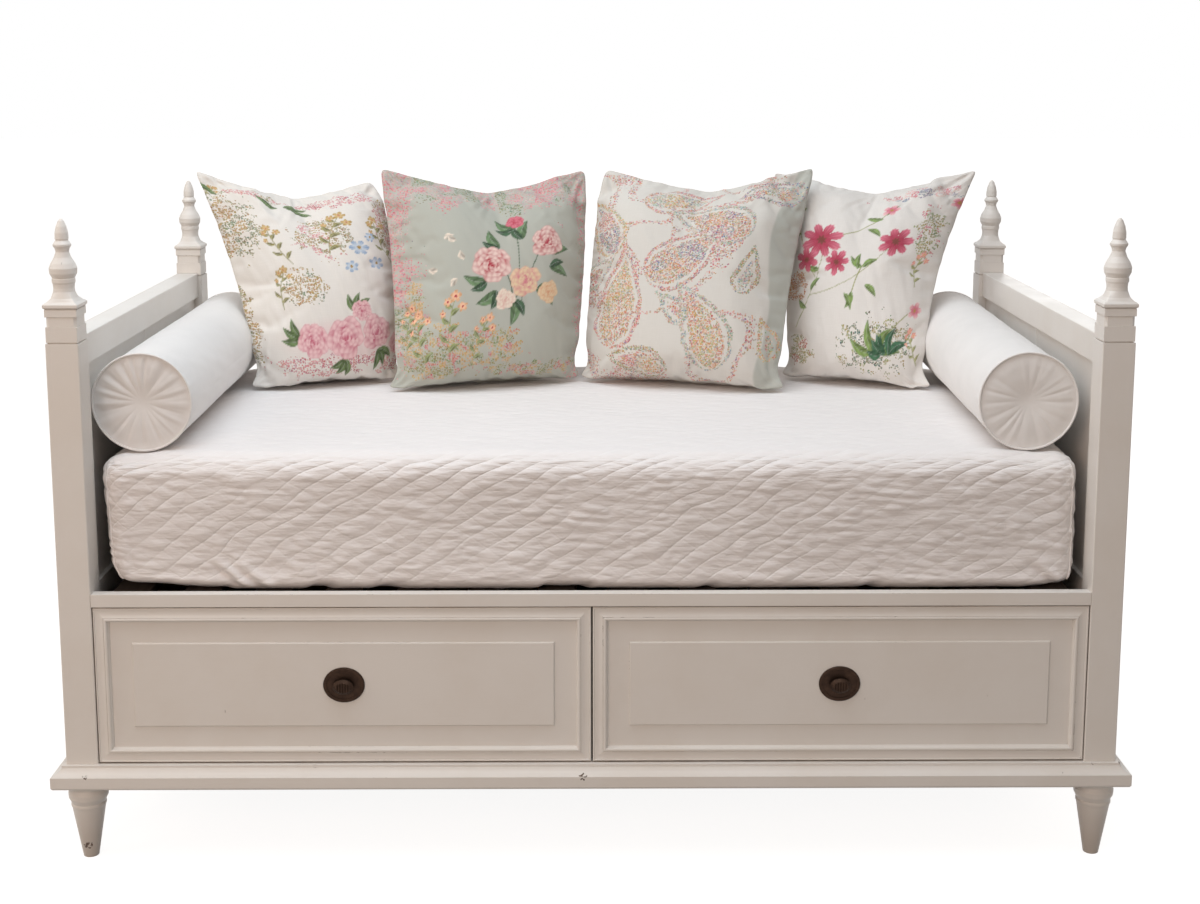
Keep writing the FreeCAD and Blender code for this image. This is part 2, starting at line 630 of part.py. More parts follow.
cover = rounded_block(hx, hy, deck_z, mattress_top, MATTRESS_CORNER, MATTRESS_TOP_ROUND,
                      MATTRESS_LOW_ROUND)
core = rounded_block(hx - COVER_THICK, hy - COVER_THICK, deck_z + COVER_THICK, mattress_top - COVER_THICK,
                     MATTRESS_CORNER - COVER_THICK, MATTRESS_TOP_ROUND - COVER_THICK,
                     MATTRESS_LOW_ROUND - COVER_THICK)
under = box(-hx + COVER_TUCK, hx - COVER_TUCK, -hy + COVER_TUCK, hy - COVER_TUCK,
            deck_z - 1, deck_z + COVER_THICK + 1)
parts["mattress_cover"] = cover.cut([core, under])
springs = box(-hx + PAD_THICK, hx - PAD_THICK, -hy + PAD_THICK, hy - PAD_THICK,
              deck_z + PAD_THICK, mattress_top - PAD_THICK)
parts["mattress"] = core.cut(springs)


# Bolsters: piped round ends, gathered to a dimple
def make_bolster():
    r = BOLSTER_RADIUS
    w = BOLSTER_WELT
    length = FRAME_DEPTH - BOLSTER_FRONT - BOLSTER_REAR
    button = BOLSTER_BUTTON
    dip = BOLSTER_DIP
    end = [(0, dip), (button, dip), (r * 0.42, dip * 0.25), (r * 0.8, 0), (r - 2.2 * w, w),
           (r - 1.2 * w, 0), (r - 0.2 * w, 0.8 * w), (r, 2.2 * w)]
    path = end + [(radius, length - along) for radius, along in reversed(end)]
    bolster = turned(path, 0, 0, 0)
    bolster.rotate(Vector(0, 0, 0), Vector(1, 0, 0), -90)
    bolster.translate(Vector(bolster_x, -half_y + BOLSTER_FRONT, mattress_top + SOFT_GAP + r))
    return bolster


parts["bolster_right"] = make_bolster()
parts["bolster_left"] = flip_x(parts["bolster_right"])

# Cushions: corners lower left, lower right, upper left, upper right,
# each as x, distance before the rear of the posts, height above the cover
cushion_places = {
    "cushion_far_left": ((-765, 388, 0), (-462, 260, 0), (-950, 155, 492), (-525, 115, 462)),
    "cushion_mid_left": ((-451, 405, 0), (-38, 270, 0), (-503, 180, 498), (-10, 125, 490)),
    "cushion_mid_right": ((-16, 275, 0), (428, 420, 0), (32, 130, 492), (535, 185, 500)),
    "cushion_far_right": ((462, 245, 0), (765, 400, 0), (440, 75, 482), (930, 155, 492)),
}
STATIONS = (0.0, 0.06, 0.22, 0.5, 0.78, 0.94, 1.0)


def crown(t):
    """Share of the full thickness at a share of the way across."""
    return (1 - abs(2 * t - 1) ** 2.6) ** 0.72


def make_cushion(corners, left_in, right_in):
    """Loft through crowned sections from the lower seam to the upper one."""
    floor = mattress_top + SOFT_GAP
    bl, br, tl, tr = [Vector(x * cushion_spread, half_y - before, floor + up) for x, before, up in corners]
    across = (br - bl + tr - tl).normalize()
    up = (tl - bl + tr - br).normalize()
    out = across.cross(up).normalize()
    wires = []
    for v in STATIONS:
        bow = 4 * v * (1 - v)
        left = bl + (tl - bl) * v + across * (left_in * bow)
        right = br + (tr - br) * v - across * (right_in * bow)
        swell = CUSHION_THICK / 2 * crown(v)
        seam_end = swell < 1e-6

        def at(t, face):
            """Point across the section, on the front face or the back one."""
            dent = CUSHION_TOP_IN * v ** 3 * 4 * t * (1 - t)
            point = left + (right - left) * t - up * dent
            if seam_end:
                lift = CUSHION_SEAM if (face > 0) == (v < 0.5) else 0.5
                return point + up * (lift * 4 * t * (1 - t) * (1 if v < 0.5 else -1))
            return point + out * (face * swell * crown(t))

        edges = []
        marks = (0, 0.08, 0.22, 0.5, 0.78, 0.92, 1)
        for face, marks in ((1, marks), (-1, marks[::-1])):
            for i in (0, 2, 4):
                a, m, b = [at(t, face) for t in marks[i:i + 3]]
                edges.append(Part.Arc(a, m, b).toShape())
        wires.append(Part.Wire(edges))
    return Part.makeLoft(wires, True, False)


for name, corners in cushion_places.items():
    left_in = CUSHION_BOLSTER_IN if name == "cushion_far_left" else CUSHION_SIDE_IN
    right_in = CUSHION_BOLSTER_IN if name == "cushion_far_right" else CUSHION_SIDE_IN
    parts[name] = make_cushion(corners, left_in, right_in)

# Write one file for each piece
os.makedirs("parts", exist_ok=True)
for name, shape in parts.items():
    shape.exportStep("parts/" + name + ".step")
print(len(parts), "pieces")
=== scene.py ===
"""Dress the painted day bed: finishes for the wood and metal, and modelled cloth for everything soft."""
import logging
import math
from dataclasses import dataclass
from enum import Enum
from typing import Optional, Sequence, Union

import bmesh
import bpy
import numpy as np
from bpy.types import Material, Mesh, Node, NodeSocket, NodeTree, Object
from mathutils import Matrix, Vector


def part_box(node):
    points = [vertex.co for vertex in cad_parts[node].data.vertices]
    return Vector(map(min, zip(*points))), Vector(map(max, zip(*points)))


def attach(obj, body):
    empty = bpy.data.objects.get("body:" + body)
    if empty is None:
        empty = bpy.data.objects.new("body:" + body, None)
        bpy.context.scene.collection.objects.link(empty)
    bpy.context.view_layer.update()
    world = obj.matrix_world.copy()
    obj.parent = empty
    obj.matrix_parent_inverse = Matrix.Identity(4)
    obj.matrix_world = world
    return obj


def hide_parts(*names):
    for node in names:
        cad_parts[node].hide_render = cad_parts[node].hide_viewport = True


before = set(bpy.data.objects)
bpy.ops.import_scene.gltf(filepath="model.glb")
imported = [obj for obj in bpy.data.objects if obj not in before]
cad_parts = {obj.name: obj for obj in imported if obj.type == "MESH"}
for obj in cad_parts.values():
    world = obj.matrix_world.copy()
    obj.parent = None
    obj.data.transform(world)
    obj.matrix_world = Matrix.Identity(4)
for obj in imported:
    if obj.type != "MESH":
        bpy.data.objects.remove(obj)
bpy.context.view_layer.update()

BED = "bed_frame"
LOG = logging.getLogger("day_bed")

Array = np.ndarray
Triple = tuple[float, float, float]
Colour = Triple
Value = Union[NodeSocket, float]


class Axis(Enum):
    """Direction that a board's grain or brush marks run in."""

    ALONG = (1.0, 14.0, 14.0)
    DEEP = (14.0, 1.0, 14.0)
    UPRIGHT = (14.0, 14.0, 1.0)


def smooth(value: Array, low: float, high: float) -> Array:
    """Ease from 0 at low to 1 at high.

    Args:
        value: numbers to ease.
        low: value that gives 0.
        high: value that gives 1.

    Returns:
        The eased numbers.
    """
    share = np.clip((value - low) / (high - low), 0.0, 1.0)
    return share * share * (3.0 - 2.0 * share)


def value_noise(u: Array, v: Array, cell: tuple[float, float], seed: int) -> Array:
    """Soft random hills over a plane.

    Args:
        u: first coordinate, in metres.
        v: second coordinate, in metres.
        cell: size of a hill along u and along v.
        seed: picks the pattern.

    Returns:
        Heights from -1 to 1.
    """
    table = np.random.default_rng(seed).uniform(-1.0, 1.0, (256, 256))
    x, y = np.asarray(u) / cell[0], np.asarray(v) / cell[1]
    i, j = np.floor(x).astype(int), np.floor(y).astype(int)
    a, b = x - i, y - j
    a, b = a * a * (3 - 2 * a), b * b * (3 - 2 * b)
    low = table[i % 256, j % 256] * (1 - a) + table[(i + 1) % 256, j % 256] * a
    high = table[i % 256, (j + 1) % 256] * (1 - a) + table[(i + 1) % 256, (j + 1) % 256] * a
    return low * (1 - b) + high * b


def rim_distance(u: Array, v: Array) -> Array:
    """Distance from places in the unit square to its nearest side."""
    return np.minimum(np.minimum(u, 1 - u), np.minimum(v, 1 - v))


def mesh_object(name: str, points: Array, faces: Array) -> Object:
    """Make a smooth mesh object from points and faces of one size.

    Args:
        name: the object's name.
        points: one row of x, y, z for each point.
        faces: one row of point numbers for each face.

    Returns:
        The new object, linked to the scene.
    """
    count, corners = faces.shape
    mesh = bpy.data.meshes.new(name)
    mesh.vertices.add(len(points))
    mesh.vertices.foreach_set("co", np.asarray(points, np.float32).ravel())
    mesh.loops.add(count * corners)
    mesh.loops.foreach_set("vertex_index", faces.astype(np.int32).ravel())
    mesh.polygons.add(count)
    mesh.polygons.foreach_set("loop_start", np.arange(0, count * corners, corners, dtype=np.int32))
    mesh.update(calc_edges=True)
    mesh.validate()
    mesh.shade_smooth()
    piece = bpy.data.objects.new(name, mesh)
    bpy.context.scene.collection.objects.link(piece)
    return piece


def read_points(mesh: Mesh) -> Array:
    """Points of a mesh, one row each."""
    points = np.empty(len(mesh.vertices) * 3, np.float32)
    mesh.vertices.foreach_get("co", points)
    return points.reshape(-1, 3).astype(float)


def write_points(mesh: Mesh, points: Array) -> None:
    """Move a mesh's points to the given rows."""
    mesh.vertices.foreach_set("co", np.asarray(points, np.float32).ravel())
    mesh.update()


def corner_points(mesh: Mesh) -> Array:
    """Point number of each face corner of a mesh."""
    numbers = np.empty(len(mesh.loops), np.int32)
    mesh.loops.foreach_get("vertex_index", numbers)
    return numbers


def lay_flat(mesh: Mesh, name: str, flat: Array) -> None:
    """Keep each face corner's flat place as a UV map."""
    mesh.uv_layers.new(name=name).uv.foreach_set("vector", flat.astype(np.float32).ravel())


def store(mesh: Mesh, name: str, values: Array) -> None:
    """Keep a number or a colour for each point of a mesh.

    Args:
        mesh: the mesh.
        name: the attribute's name.
        values: one number, or one row of red, green, blue and alpha, for each point.
    """
    kind, key = ("FLOAT", "value") if values.ndim == 1 else ("FLOAT_COLOR", "color")
    layer = mesh.attributes.new(name, kind, "POINT")
    layer.data.foreach_set(key, np.asarray(values, np.float32).ravel())


def fetch(mesh: Mesh, name: str) -> Array:
    """Read back the numbers that store() kept."""
    values = np.empty(len(mesh.vertices), np.float32)
    mesh.attributes[name].data.foreach_get("value", values)
    return values.astype(float)


def evaluated_copy(piece: Object) -> None:
    """Replace a piece's mesh with its evaluated one and drop its modifiers.

    Args:
        piece: the object with modifiers on it.
    """
    graph = bpy.context.evaluated_depsgraph_get()
    mesh = bpy.data.meshes.new_from_object(piece.evaluated_get(graph))
    piece.modifiers.clear()
    piece.data = mesh


def settle(piece: Object, slot: str, *nodes: str) -> Object:
    """Seat a finished soft piece on the bed.

    Args:
        piece: the finished piece.
        slot: not used.
        nodes: the solids that it stands for.

    Returns:
        The same piece.
    """
    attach(piece, BED)
    if nodes:
        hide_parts(*nodes)
    LOG.info("%s: %d faces", piece.name, len(piece.data.polygons))
    return piece


class Shader:
    """A material's node tree, with short calls for the nodes that the finishes share."""

    def __init__(self, name: str, tree: Optional[NodeTree] = None) -> None:
        """Start a material that has only its main shader, or go on with the tree that is given."""
        self.tree = tree
        if tree is None:
            self.material = bpy.data.materials.new(name)
            self.material.use_nodes = True
            self.tree = self.material.node_tree
            self.main = self.tree.nodes["Principled BSDF"]

    def add(self, kind: str, settings: Optional[dict] = None, **inputs: object) -> Node:
        """Add a node.

        Args:
            kind: the node's type without its ShaderNode prefix.
            settings: values for the node's own properties.
            inputs: sockets or values by input name, with underscores for spaces.

        Returns:
            The new node.
        """
        node = self.tree.nodes.new("ShaderNode" + kind)
        for key, value in (settings or {}).items():
            setattr(node, key, value)
        for key, value in inputs.items():
            self.put(node.inputs[key.replace("_", " ")], value)
        return node

    def put(self, target: NodeSocket, value: object) -> None:
        """Link a socket, or set its constant."""
        if isinstance(value, NodeSocket):
            self.tree.links.new(value, target)
        else:
            target.default_value = value

    def finish(self, **inputs: object) -> Material:
        """Set the main shader's inputs by name and give the material."""
        for key, value in inputs.items():
            self.put(self.main.inputs[key.replace("_", " ")], value)
        return self.material

    def seen(self) -> NodeSocket:
        """1 where the background is looked at straight, in gloss or through glass, 0 where it gives light."""
        path = self.add("LightPath").outputs
        return self.math("MAXIMUM", path["Is Camera Ray"],
                         self.math("MAXIMUM", path["Is Glossy Ray"], path["Is Transmission Ray"]))

    def place(self, scale: Sequence[float] = (1.0, 1.0, 1.0)) -> NodeSocket:
        """Object coordinates, stretched by the scale."""
        coordinates = self.add("TexCoord").outputs["Object"]
        return self.add("Mapping", Vector=coordinates, Scale=scale).outputs["Vector"]

    def cloth_place(self, scale: Sequence[float] = (1.0, 1.0, 1.0)) -> NodeSocket:
        """The cloth's own flat coordinates in metres, stretched by the scale."""
        flat = self.add("UVMap", {"uv_map": "cloth"}).outputs["UV"]
        return self.add("Mapping", Vector=flat, Scale=scale).outputs["Vector"]

    def noise(self, place: NodeSocket, scale: float, detail: float = 3.0, rough: float = 0.5) -> NodeSocket:
        """Noise from 0 to 1 at a place."""
        node = self.add("TexNoise", Vector=place, Scale=scale, Detail=detail, Roughness=rough)
        return node.outputs["Fac"]

    def math(self, operation: str, a: Value, b: Value = 0.0) -> NodeSocket:
        """One sum on two values."""
        node = self.add("Math", {"operation": operation})
        self.put(node.inputs[0], a)
        self.put(node.inputs[1], b)
        return node.outputs[0]

    def times(self, a: Value, b: Value) -> NodeSocket:
        """Product of two values."""
        return self.math("MULTIPLY", a, b)

    def plus(self, a: Value, b: Value) -> NodeSocket:
        """Sum of two values."""
        return self.math("ADD", a, b)

    def minus(self, a: Value, b: Value) -> NodeSocket:
        """What is left of a after taking b away."""
        return self.math("SUBTRACT", a, b)

    def vector(self, operation: str, *values: object) -> Node:
        """One sum on vectors."""
        node = self.add("VectorMath", {"operation": operation})
        for socket, value in zip(node.inputs, values):
            self.put(socket, value)
        return node

    def ease(self, value: NodeSocket, low: float, high: float, start: float = 0.0,
             end: float = 1.0) -> NodeSocket:
        """Ease a value between two levels."""
        node = self.add("MapRange", {"interpolation_type": "SMOOTHSTEP"}, Value=value, From_Min=low,
                        From_Max=high, To_Min=start, To_Max=end)
        return node.outputs["Result"]

    def blend(self, share: Value, first: object, second: object) -> NodeSocket:
        """Mix two colours."""
        node = self.add("Mix", {"data_type": "RGBA"})
        self.put(node.inputs["Factor"], share)
        for socket, colour in ((node.inputs[6], first), (node.inputs[7], second)):
            self.put(socket, colour if isinstance(colour, NodeSocket) else (*colour, 1.0))
        return node.outputs[2]

    def bump(self, height: NodeSocket, strength: float, distance: float,
             normal: Optional[NodeSocket] = None) -> NodeSocket:
        """Raise the surface's normal by a height."""
        node = self.add("Bump", Strength=strength, Distance=distance, Height=height)
        if normal is not None:
            self.put(node.inputs["Normal"], normal)
        return node.outputs["Normal"]

    def edges(self, radius: float) -> tuple[NodeSocket, NodeSocket]:
        """Rounded normal near edges, and how sharply the surface turns there."""
        rounded = self.add("Bevel", {"samples": 6}, Radius=radius).outputs["Normal"]
        plain = self.add("NewGeometry").outputs["True Normal"]
        return rounded, self.minus(1.0, self.vector("DOT_PRODUCT", rounded, plain).outputs["Value"])


@dataclass(frozen=True)
class PaintedWood:
    """Old white paint on wood: brush marks, painted shade in the corners and towards the floor, small chips
    at the edges.
    """

    axis: Axis = Axis.ALONG
    colour: Colour = (0.80, 0.765, 0.725)
    aged: Colour = (0.755, 0.705, 0.65)
    # colour of the painted shade in the corners and towards the floor
    painted_shade: Colour = (0.33, 0.25, 0.19)
    chip: Colour = (0.10, 0.062, 0.042)
    arris: float = 0.0010
    corner_reach: float = 0.005
    # how high and how strongly the painted shade towards the floor reaches
    low_level: float = 0.15
    low_shade: float = 0.48
    chip_depth: float = 1.4
    ragged: float = 0.03
    marks: tuple[tuple[float, float, float, float], ...] = (
        (-0.018, -0.553, 0.181, 0.006), (0.743, -0.545, 0.192, 0.004), (0.976, -0.540, 0.198, 0.004),
        (1.029, -0.540, 0.199, 0.006), (-0.978, -0.552, 0.184, 0.004), (-0.988, -0.515, 0.026, 0.008))

    def paint(self, shader: Shader, place: NodeSocket) -> NodeSocket:
        """Colour of the paint with its age, with painted shade in the corners and towards the floor.

        Args:
            shader: the material being made.
            place: object coordinates.

        Returns:
            The colour without chips.
        """
        patches = shader.ease(shader.noise(place, 5.0, 5.0, 0.6), 0.35, 0.75)
        paint = shader.blend(shader.times(patches, 0.7), self.colour, self.aged)
        # painted shade: an ambient occlusion node darkens the paint in corners and grooves, patchy by noise
        corner_shade = shader.add("AmbientOcclusion", {"samples": 6}, Distance=self.corner_reach).outputs["AO"]
        uneven = shader.ease(shader.noise(place, 9.0, 4.0, 0.6), 0.3, 0.8, 0.25, 0.75)
        paint = shader.blend(shader.times(shader.ease(corner_shade, 0.68, 0.28), uneven), paint, self.painted_shade)
        # painted shade: the paint darkens towards the floor, most at the feet
        level = shader.add("SeparateXYZ", Vector=place).outputs["Z"]
        return shader.blend(shader.ease(level, self.low_level, 0.0, 0.0, self.low_shade), paint, self.painted_shade)

    def chips(self, shader: Shader, place: NodeSocket, edge: NodeSocket) -> NodeSocket:
        """Where the paint is off: at worn edges, and at the marks seen in the photo.

        Args:
            shader: the material being made.
            place: object coordinates.
            edge: how sharply the surface turns.

        Returns:
            1 in a chip and 0 on the paint.
        """
        spots = shader.noise(place, 46.0, 4.0, 0.65)
        region = shader.ease(shader.noise(place, 3.1, 3.0, 0.5), 0.46, 0.72)
        worn = shader.times(shader.ease(edge, 0.05, 0.16), region)
        chips = shader.ease(shader.plus(shader.times(worn, 0.22), spots), 0.73, 0.765)
        chips = shader.times(chips, shader.ease(edge, 0.01, 0.05))
        warp = shader.add("TexNoise", Vector=place, Scale=130.0, Detail=4.0).outputs["Color"]
        shifted = shader.vector("MULTIPLY_ADD", warp, (self.ragged,) * 3, place).outputs["Vector"]
        middle = 0.5 * self.ragged
        for x, y, z, size in self.marks:
            away = shader.vector("DISTANCE", shifted, (x + middle, y + middle, z + middle)).outputs["Value"]
            chips = shader.math("MAXIMUM", chips, shader.ease(away, size, 0.7 * size))
        return chips

    def build(self) -> Material:
        """Make the material."""
        shader = Shader("painted_wood_" + self.axis.name.lower())
        place = shader.place()
        rounded, edge = shader.edges(self.arris)
        paint = self.paint(shader, place)
        chips = self.chips(shader, place, edge)
        scuffs = shader.ease(shader.noise(shader.place((1.0, 1.0, 0.35)), 74.0, 2.0, 0.5), 0.795, 0.81)
        colour = shader.blend(shader.math("MAXIMUM", chips, shader.times(scuffs, 0.4)), paint, self.chip)
        brush = shader.noise(shader.place(self.axis.value), 16.0, 3.0, 0.6)
        height = shader.minus(shader.times(brush, 0.6), shader.times(chips, self.chip_depth))
        normal = shader.bump(height, 0.22, 0.0012, rounded)
        rough = shader.ease(shader.noise(place, 21.0, 3.0, 0.5), 0.2, 0.8, 0.36, 0.50)
        return shader.finish(Base_Color=colour, Roughness=rough, Normal=normal, Specular_IOR_Level=0.42)


@dataclass(frozen=True)
class BarePine:
    """Unpainted softwood, bare in the drawer boxes, and darkened almost to black under the mattress as
    painted shade in the gaps.
    """

    axis: Axis = Axis.DEEP
    pale: Colour = (0.50, 0.35, 0.21)
    dark: Colour = (0.33, 0.20, 0.10)
    name: str = "bare_pine"

    def build(self) -> Material:
        """Make the material."""
        shader = Shader(f"{self.name}_{self.axis.name.lower()}")
        stretched = tuple(value * 0.6 for value in self.axis.value)
        bend = shader.noise(shader.place(stretched), 2.2, 3.0, 0.5)
        rings = shader.math("SINE", shader.times(bend, 46.0))
        fibre = shader.noise(shader.place(self.axis.value), 34.0, 3.0, 0.6)
        grain = shader.plus(shader.ease(rings, -1.0, 1.0, 0.0, 0.55), shader.times(fibre, 0.45))
        colour = shader.blend(grain, self.pale, self.dark)
        normal = shader.bump(fibre, 0.25, 0.0008)
        return shader.finish(Base_Color=colour, Roughness=0.72, Normal=normal)


@dataclass(frozen=True)
class DarkBronze:
    """Dark bronze of the knobs and plates, rubbed lighter on the edges."""

    colour: Colour = (0.030, 0.017, 0.012)
    rubbed: Colour = (0.085, 0.048, 0.030)

    def build(self) -> Material:
        """Make the material."""
        shader = Shader("dark_bronze")
        place = shader.place()
        rounded, edge = shader.edges(0.0012)
        speckle = shader.noise(place, 420.0, 3.0, 0.6)
        wear = shader.times(shader.ease(edge, 0.02, 0.2), shader.ease(speckle, 0.35, 0.7))
        patina = shader.ease(shader.noise(place, 90.0, 4.0, 0.6), 0.3, 0.8, 0.0, 0.35)
        colour = shader.blend(shader.math("MAXIMUM", wear, patina), self.colour, self.rubbed)
        normal = shader.bump(speckle, 0.25, 0.0004, rounded)
        rough = shader.ease(speckle, 0.2, 0.8, 0.38, 0.6)
        return shader.finish(Base_Color=colour, Metallic=0.9, Roughness=rough, Normal=normal,
                             Specular_IOR_Level=0.3)


@dataclass(frozen=True)
class PlainSteel:
    """Zinc-plated steel of the studs and screws."""

    colour: Colour = (0.48, 0.48, 0.49)

    def build(self) -> Material:
        """Make the material."""
        shader = Shader("plain_steel")
        streaks = shader.noise(shader.place((1.0, 1.0, 0.1)), 600.0, 2.0, 0.5)
        colour = shader.blend(streaks, tuple(value * 0.8 for value in self.colour), self.colour)
        rough = shader.ease(streaks, 0.2, 0.8, 0.3, 0.5)
        return shader.finish(Base_Color=colour, Metallic=1.0, Roughness=rough)


@dataclass(frozen=True)
class QuiltedCotton:
    """Washed white cotton, stitched in diamonds, with painted highlight along the stitching, and puckered
    beside it.
    """

    colour: Colour = (0.87, 0.835, 0.825)
    # colour of the painted highlight along the stitched lines
    valley: Colour = (0.90, 0.875, 0.865)
    rising_depth: float = 0.17
    falling_depth: float = 0.10
    long_pucker: float = 0.42
    fine_pucker: float = 0.15
    relief: float = 0.0042

    def stitched(self, shader: Shader) -> NodeSocket:
        """Height of the padding beside the stitched lines, the falling ones drawn less tight in places.

        Args:
            shader: the material being made.

        Returns:
            Height as a share of the relief.
        """
        phases = shader.add("SeparateXYZ", Vector=shader.add("UVMap", {"uv_map": "stitch"}).outputs["UV"])
        turns = (shader.times(phases.outputs[axis], math.pi) for axis in ("X", "Y"))
        rising, falling = (shader.math("ABSOLUTE", shader.math("SINE", turn)) for turn in turns)
        firm = shader.noise(shader.cloth_place((15.0, 22.0, 1.0)), 1.0, 2.0)
        firm = shader.ease(firm, 0.35, 0.65, 0.2, 0.9)
        slack = shader.times(shader.minus(1.0, shader.ease(falling, 0.0, 0.36)), firm)
        return shader.minus(shader.times(shader.ease(rising, 0.0, 0.32), self.rising_depth),
                            shader.times(slack, self.falling_depth))

    def build(self) -> Material:
        """Make the material."""
        shader = Shader("quilted_cotton")
        seams = self.stitched(shader)
        long_pucker = shader.noise(shader.cloth_place((18.0, 58.0, 1.0)), 1.0, 2.0, 0.5)
        long_pucker = shader.times(shader.ease(long_pucker, 0.28, 0.72), self.long_pucker)
        fine_pucker = shader.noise(shader.cloth_place((60.0, 190.0, 1.0)), 1.0, 2.0, 0.6)
        gathers = shader.plus(long_pucker, shader.times(fine_pucker, self.fine_pucker))
        quilt, gather = (shader.add("Attribute", {"attribute_name": name}).outputs["Fac"]
                         for name in ("quilt", "gather"))
        height = shader.plus(shader.times(seams, quilt), shader.times(gathers, gather))
        # painted highlight: the cloth is paler along the stitched lines
        colour = shader.blend(shader.ease(seams, -0.04, 0.09), self.valley, self.colour)
        normal = shader.bump(height, 1.0, self.relief)
        weave = shader.noise(shader.cloth_place(), 1500.0, 2.0, 0.5)
        normal = shader.bump(weave, 0.12, 0.0004, normal)
        return shader.finish(Base_Color=colour, Roughness=0.92, Normal=normal, Sheen_Weight=0.12,
                             Specular_IOR_Level=0.2)


@dataclass(frozen=True)
class PlainCotton:
    """Smooth plain cotton of the bolsters, or striped ticking."""

    name: str = "bolster_cotton"
    colour: Colour = (0.875, 0.855, 0.84)
    stripe: Optional[Colour] = None
    stripe_pitch: float = 0.032

    def build(self) -> Material:
        """Make the material."""
        shader = Shader(self.name)
        place = shader.place()
        tone = shader.ease(shader.noise(place, 14.0, 4.0, 0.6), 0.25, 0.8)
        colour = shader.blend(tone, self.colour, tuple(value * 0.955 for value in self.colour))
        if self.stripe is not None:
            across = shader.add("SeparateXYZ", Vector=place).outputs["X"]
            phase = shader.times(across, 2.0 * math.pi / self.stripe_pitch)
            band = shader.ease(shader.math("SINE", phase), 0.78, 0.86)
            colour = shader.blend(band, colour, self.stripe)
        weave = shader.noise(place, 1300.0, 2.0, 0.5)
        crease = shader.noise(shader.place((30.0, 9.0, 30.0)), 1.0, 3.0, 0.55)
        normal = shader.bump(crease, 0.16, 0.003)
        normal = shader.bump(weave, 0.14, 0.0004, normal)
        return shader.finish(Base_Color=colour, Roughness=0.9, Normal=normal, Sheen_Weight=0.15,
                             Specular_IOR_Level=0.2)


@dataclass(frozen=True)
class PrintedLinen:
    """Printed linen: painted motifs held on each point, and fine specks of colour drawn by the shader."""

    name: str
    mixed: float = 0.25
    pitches: tuple[float, float] = (0.0056, 0.0038)
    thread: float = 0.0011
    slub: float = 0.10
    palette: tuple[Colour, ...] = (
        (0.46, 0.06, 0.10), (0.70, 0.26, 0.30), (0.66, 0.40, 0.12), (0.20, 0.33, 0.17), (0.13, 0.19, 0.36),
        (0.62, 0.22, 0.10), (0.40, 0.53, 0.46), (0.80, 0.56, 0.50), (0.34, 0.36, 0.12))

    def specks(self, shader: Shader, ground: NodeSocket, tint: Node, pitch: float) -> NodeSocket:
        """Scatter small specks over the ground, as densely as the cloth's attribute says.

        Args:
            shader: the material being made.
            ground: colour between the specks.
            tint: attribute node with the specks' local colour, and their density as alpha.
            pitch: distance between specks.

        Returns:
            The colour with its specks.
        """
        flat = shader.cloth_place()
        wobble = shader.add("TexNoise", Vector=flat, Scale=1.7 / pitch, Detail=1.0).outputs["Color"]
        bent = shader.vector("MULTIPLY_ADD", wobble, (0.5 * pitch,) * 3, flat).outputs["Vector"]
        cells = shader.add("TexVoronoi", {"voronoi_dimensions": "2D"}, Vector=bent, Scale=1.0 / pitch,
                           Randomness=0.85)
        chance = shader.add("SeparateColor", Color=cells.outputs["Color"])
        shown = shader.math("LESS_THAN", chance.outputs["Red"], tint.outputs["Alpha"])
        inside = shader.times(shader.ease(cells.outputs["Distance"], 0.52, 0.34), shown)
        ramp = shader.add("ValToRGB", Fac=chance.outputs["Green"])
        ramp.color_ramp.interpolation = "CONSTANT"
        while len(ramp.color_ramp.elements) < len(self.palette):
            ramp.color_ramp.elements.new(0.5)
        for index, (element, colour) in enumerate(zip(ramp.color_ramp.elements, self.palette)):
            element.position = index / len(self.palette)
            element.color = (*colour, 1.0)
        colour = shader.blend(self.mixed, tint.outputs["Color"], ramp.outputs["Color"])
        faded = shader.ease(chance.outputs["Blue"], 0.0, 1.0, 0.0, 0.32)
        colour = shader.blend(faded, colour, (0.80, 0.76, 0.71))
        return shader.blend(inside, ground, colour)

    def build(self) -> Material:
        """Make the material."""
        shader = Shader(self.name)
        colour = shader.add("Attribute", {"attribute_name": "print"}).outputs["Color"]
        tint = shader.add("Attribute", {"attribute_name": "speck"})
        for pitch in self.pitches:
            colour = self.specks(shader, colour, tint, pitch)
        flat = shader.cloth_place()
        across = shader.noise(shader.cloth_place((30.0, 900.0, 1.0)), 1.0, 2.0, 0.6)
        along = shader.noise(shader.cloth_place((900.0, 30.0, 1.0)), 1.0, 2.0, 0.6)
        yarn = shader.plus(across, along)
        colour = shader.blend(shader.ease(yarn, 0.7, 1.3, self.slub, 0.0), colour, (0.42, 0.37, 0.31))
        threads = []
        for direction in ("X", "Y"):
            wave = shader.add("TexWave", {"bands_direction": direction}, Vector=flat,
                              Scale=0.314 / self.thread, Distortion=0.6)
            threads.append(wave.outputs["Fac"])
        crossing = shader.times(threads[0], threads[1])
        weave = shader.plus(crossing, shader.times(yarn, 0.8))
        normal = shader.bump(weave, 0.25, 0.0006)
        return shader.finish(Base_Color=colour, Roughness=0.93, Normal=normal, Sheen_Weight=0.15,
                             Specular_IOR_Level=0.15)


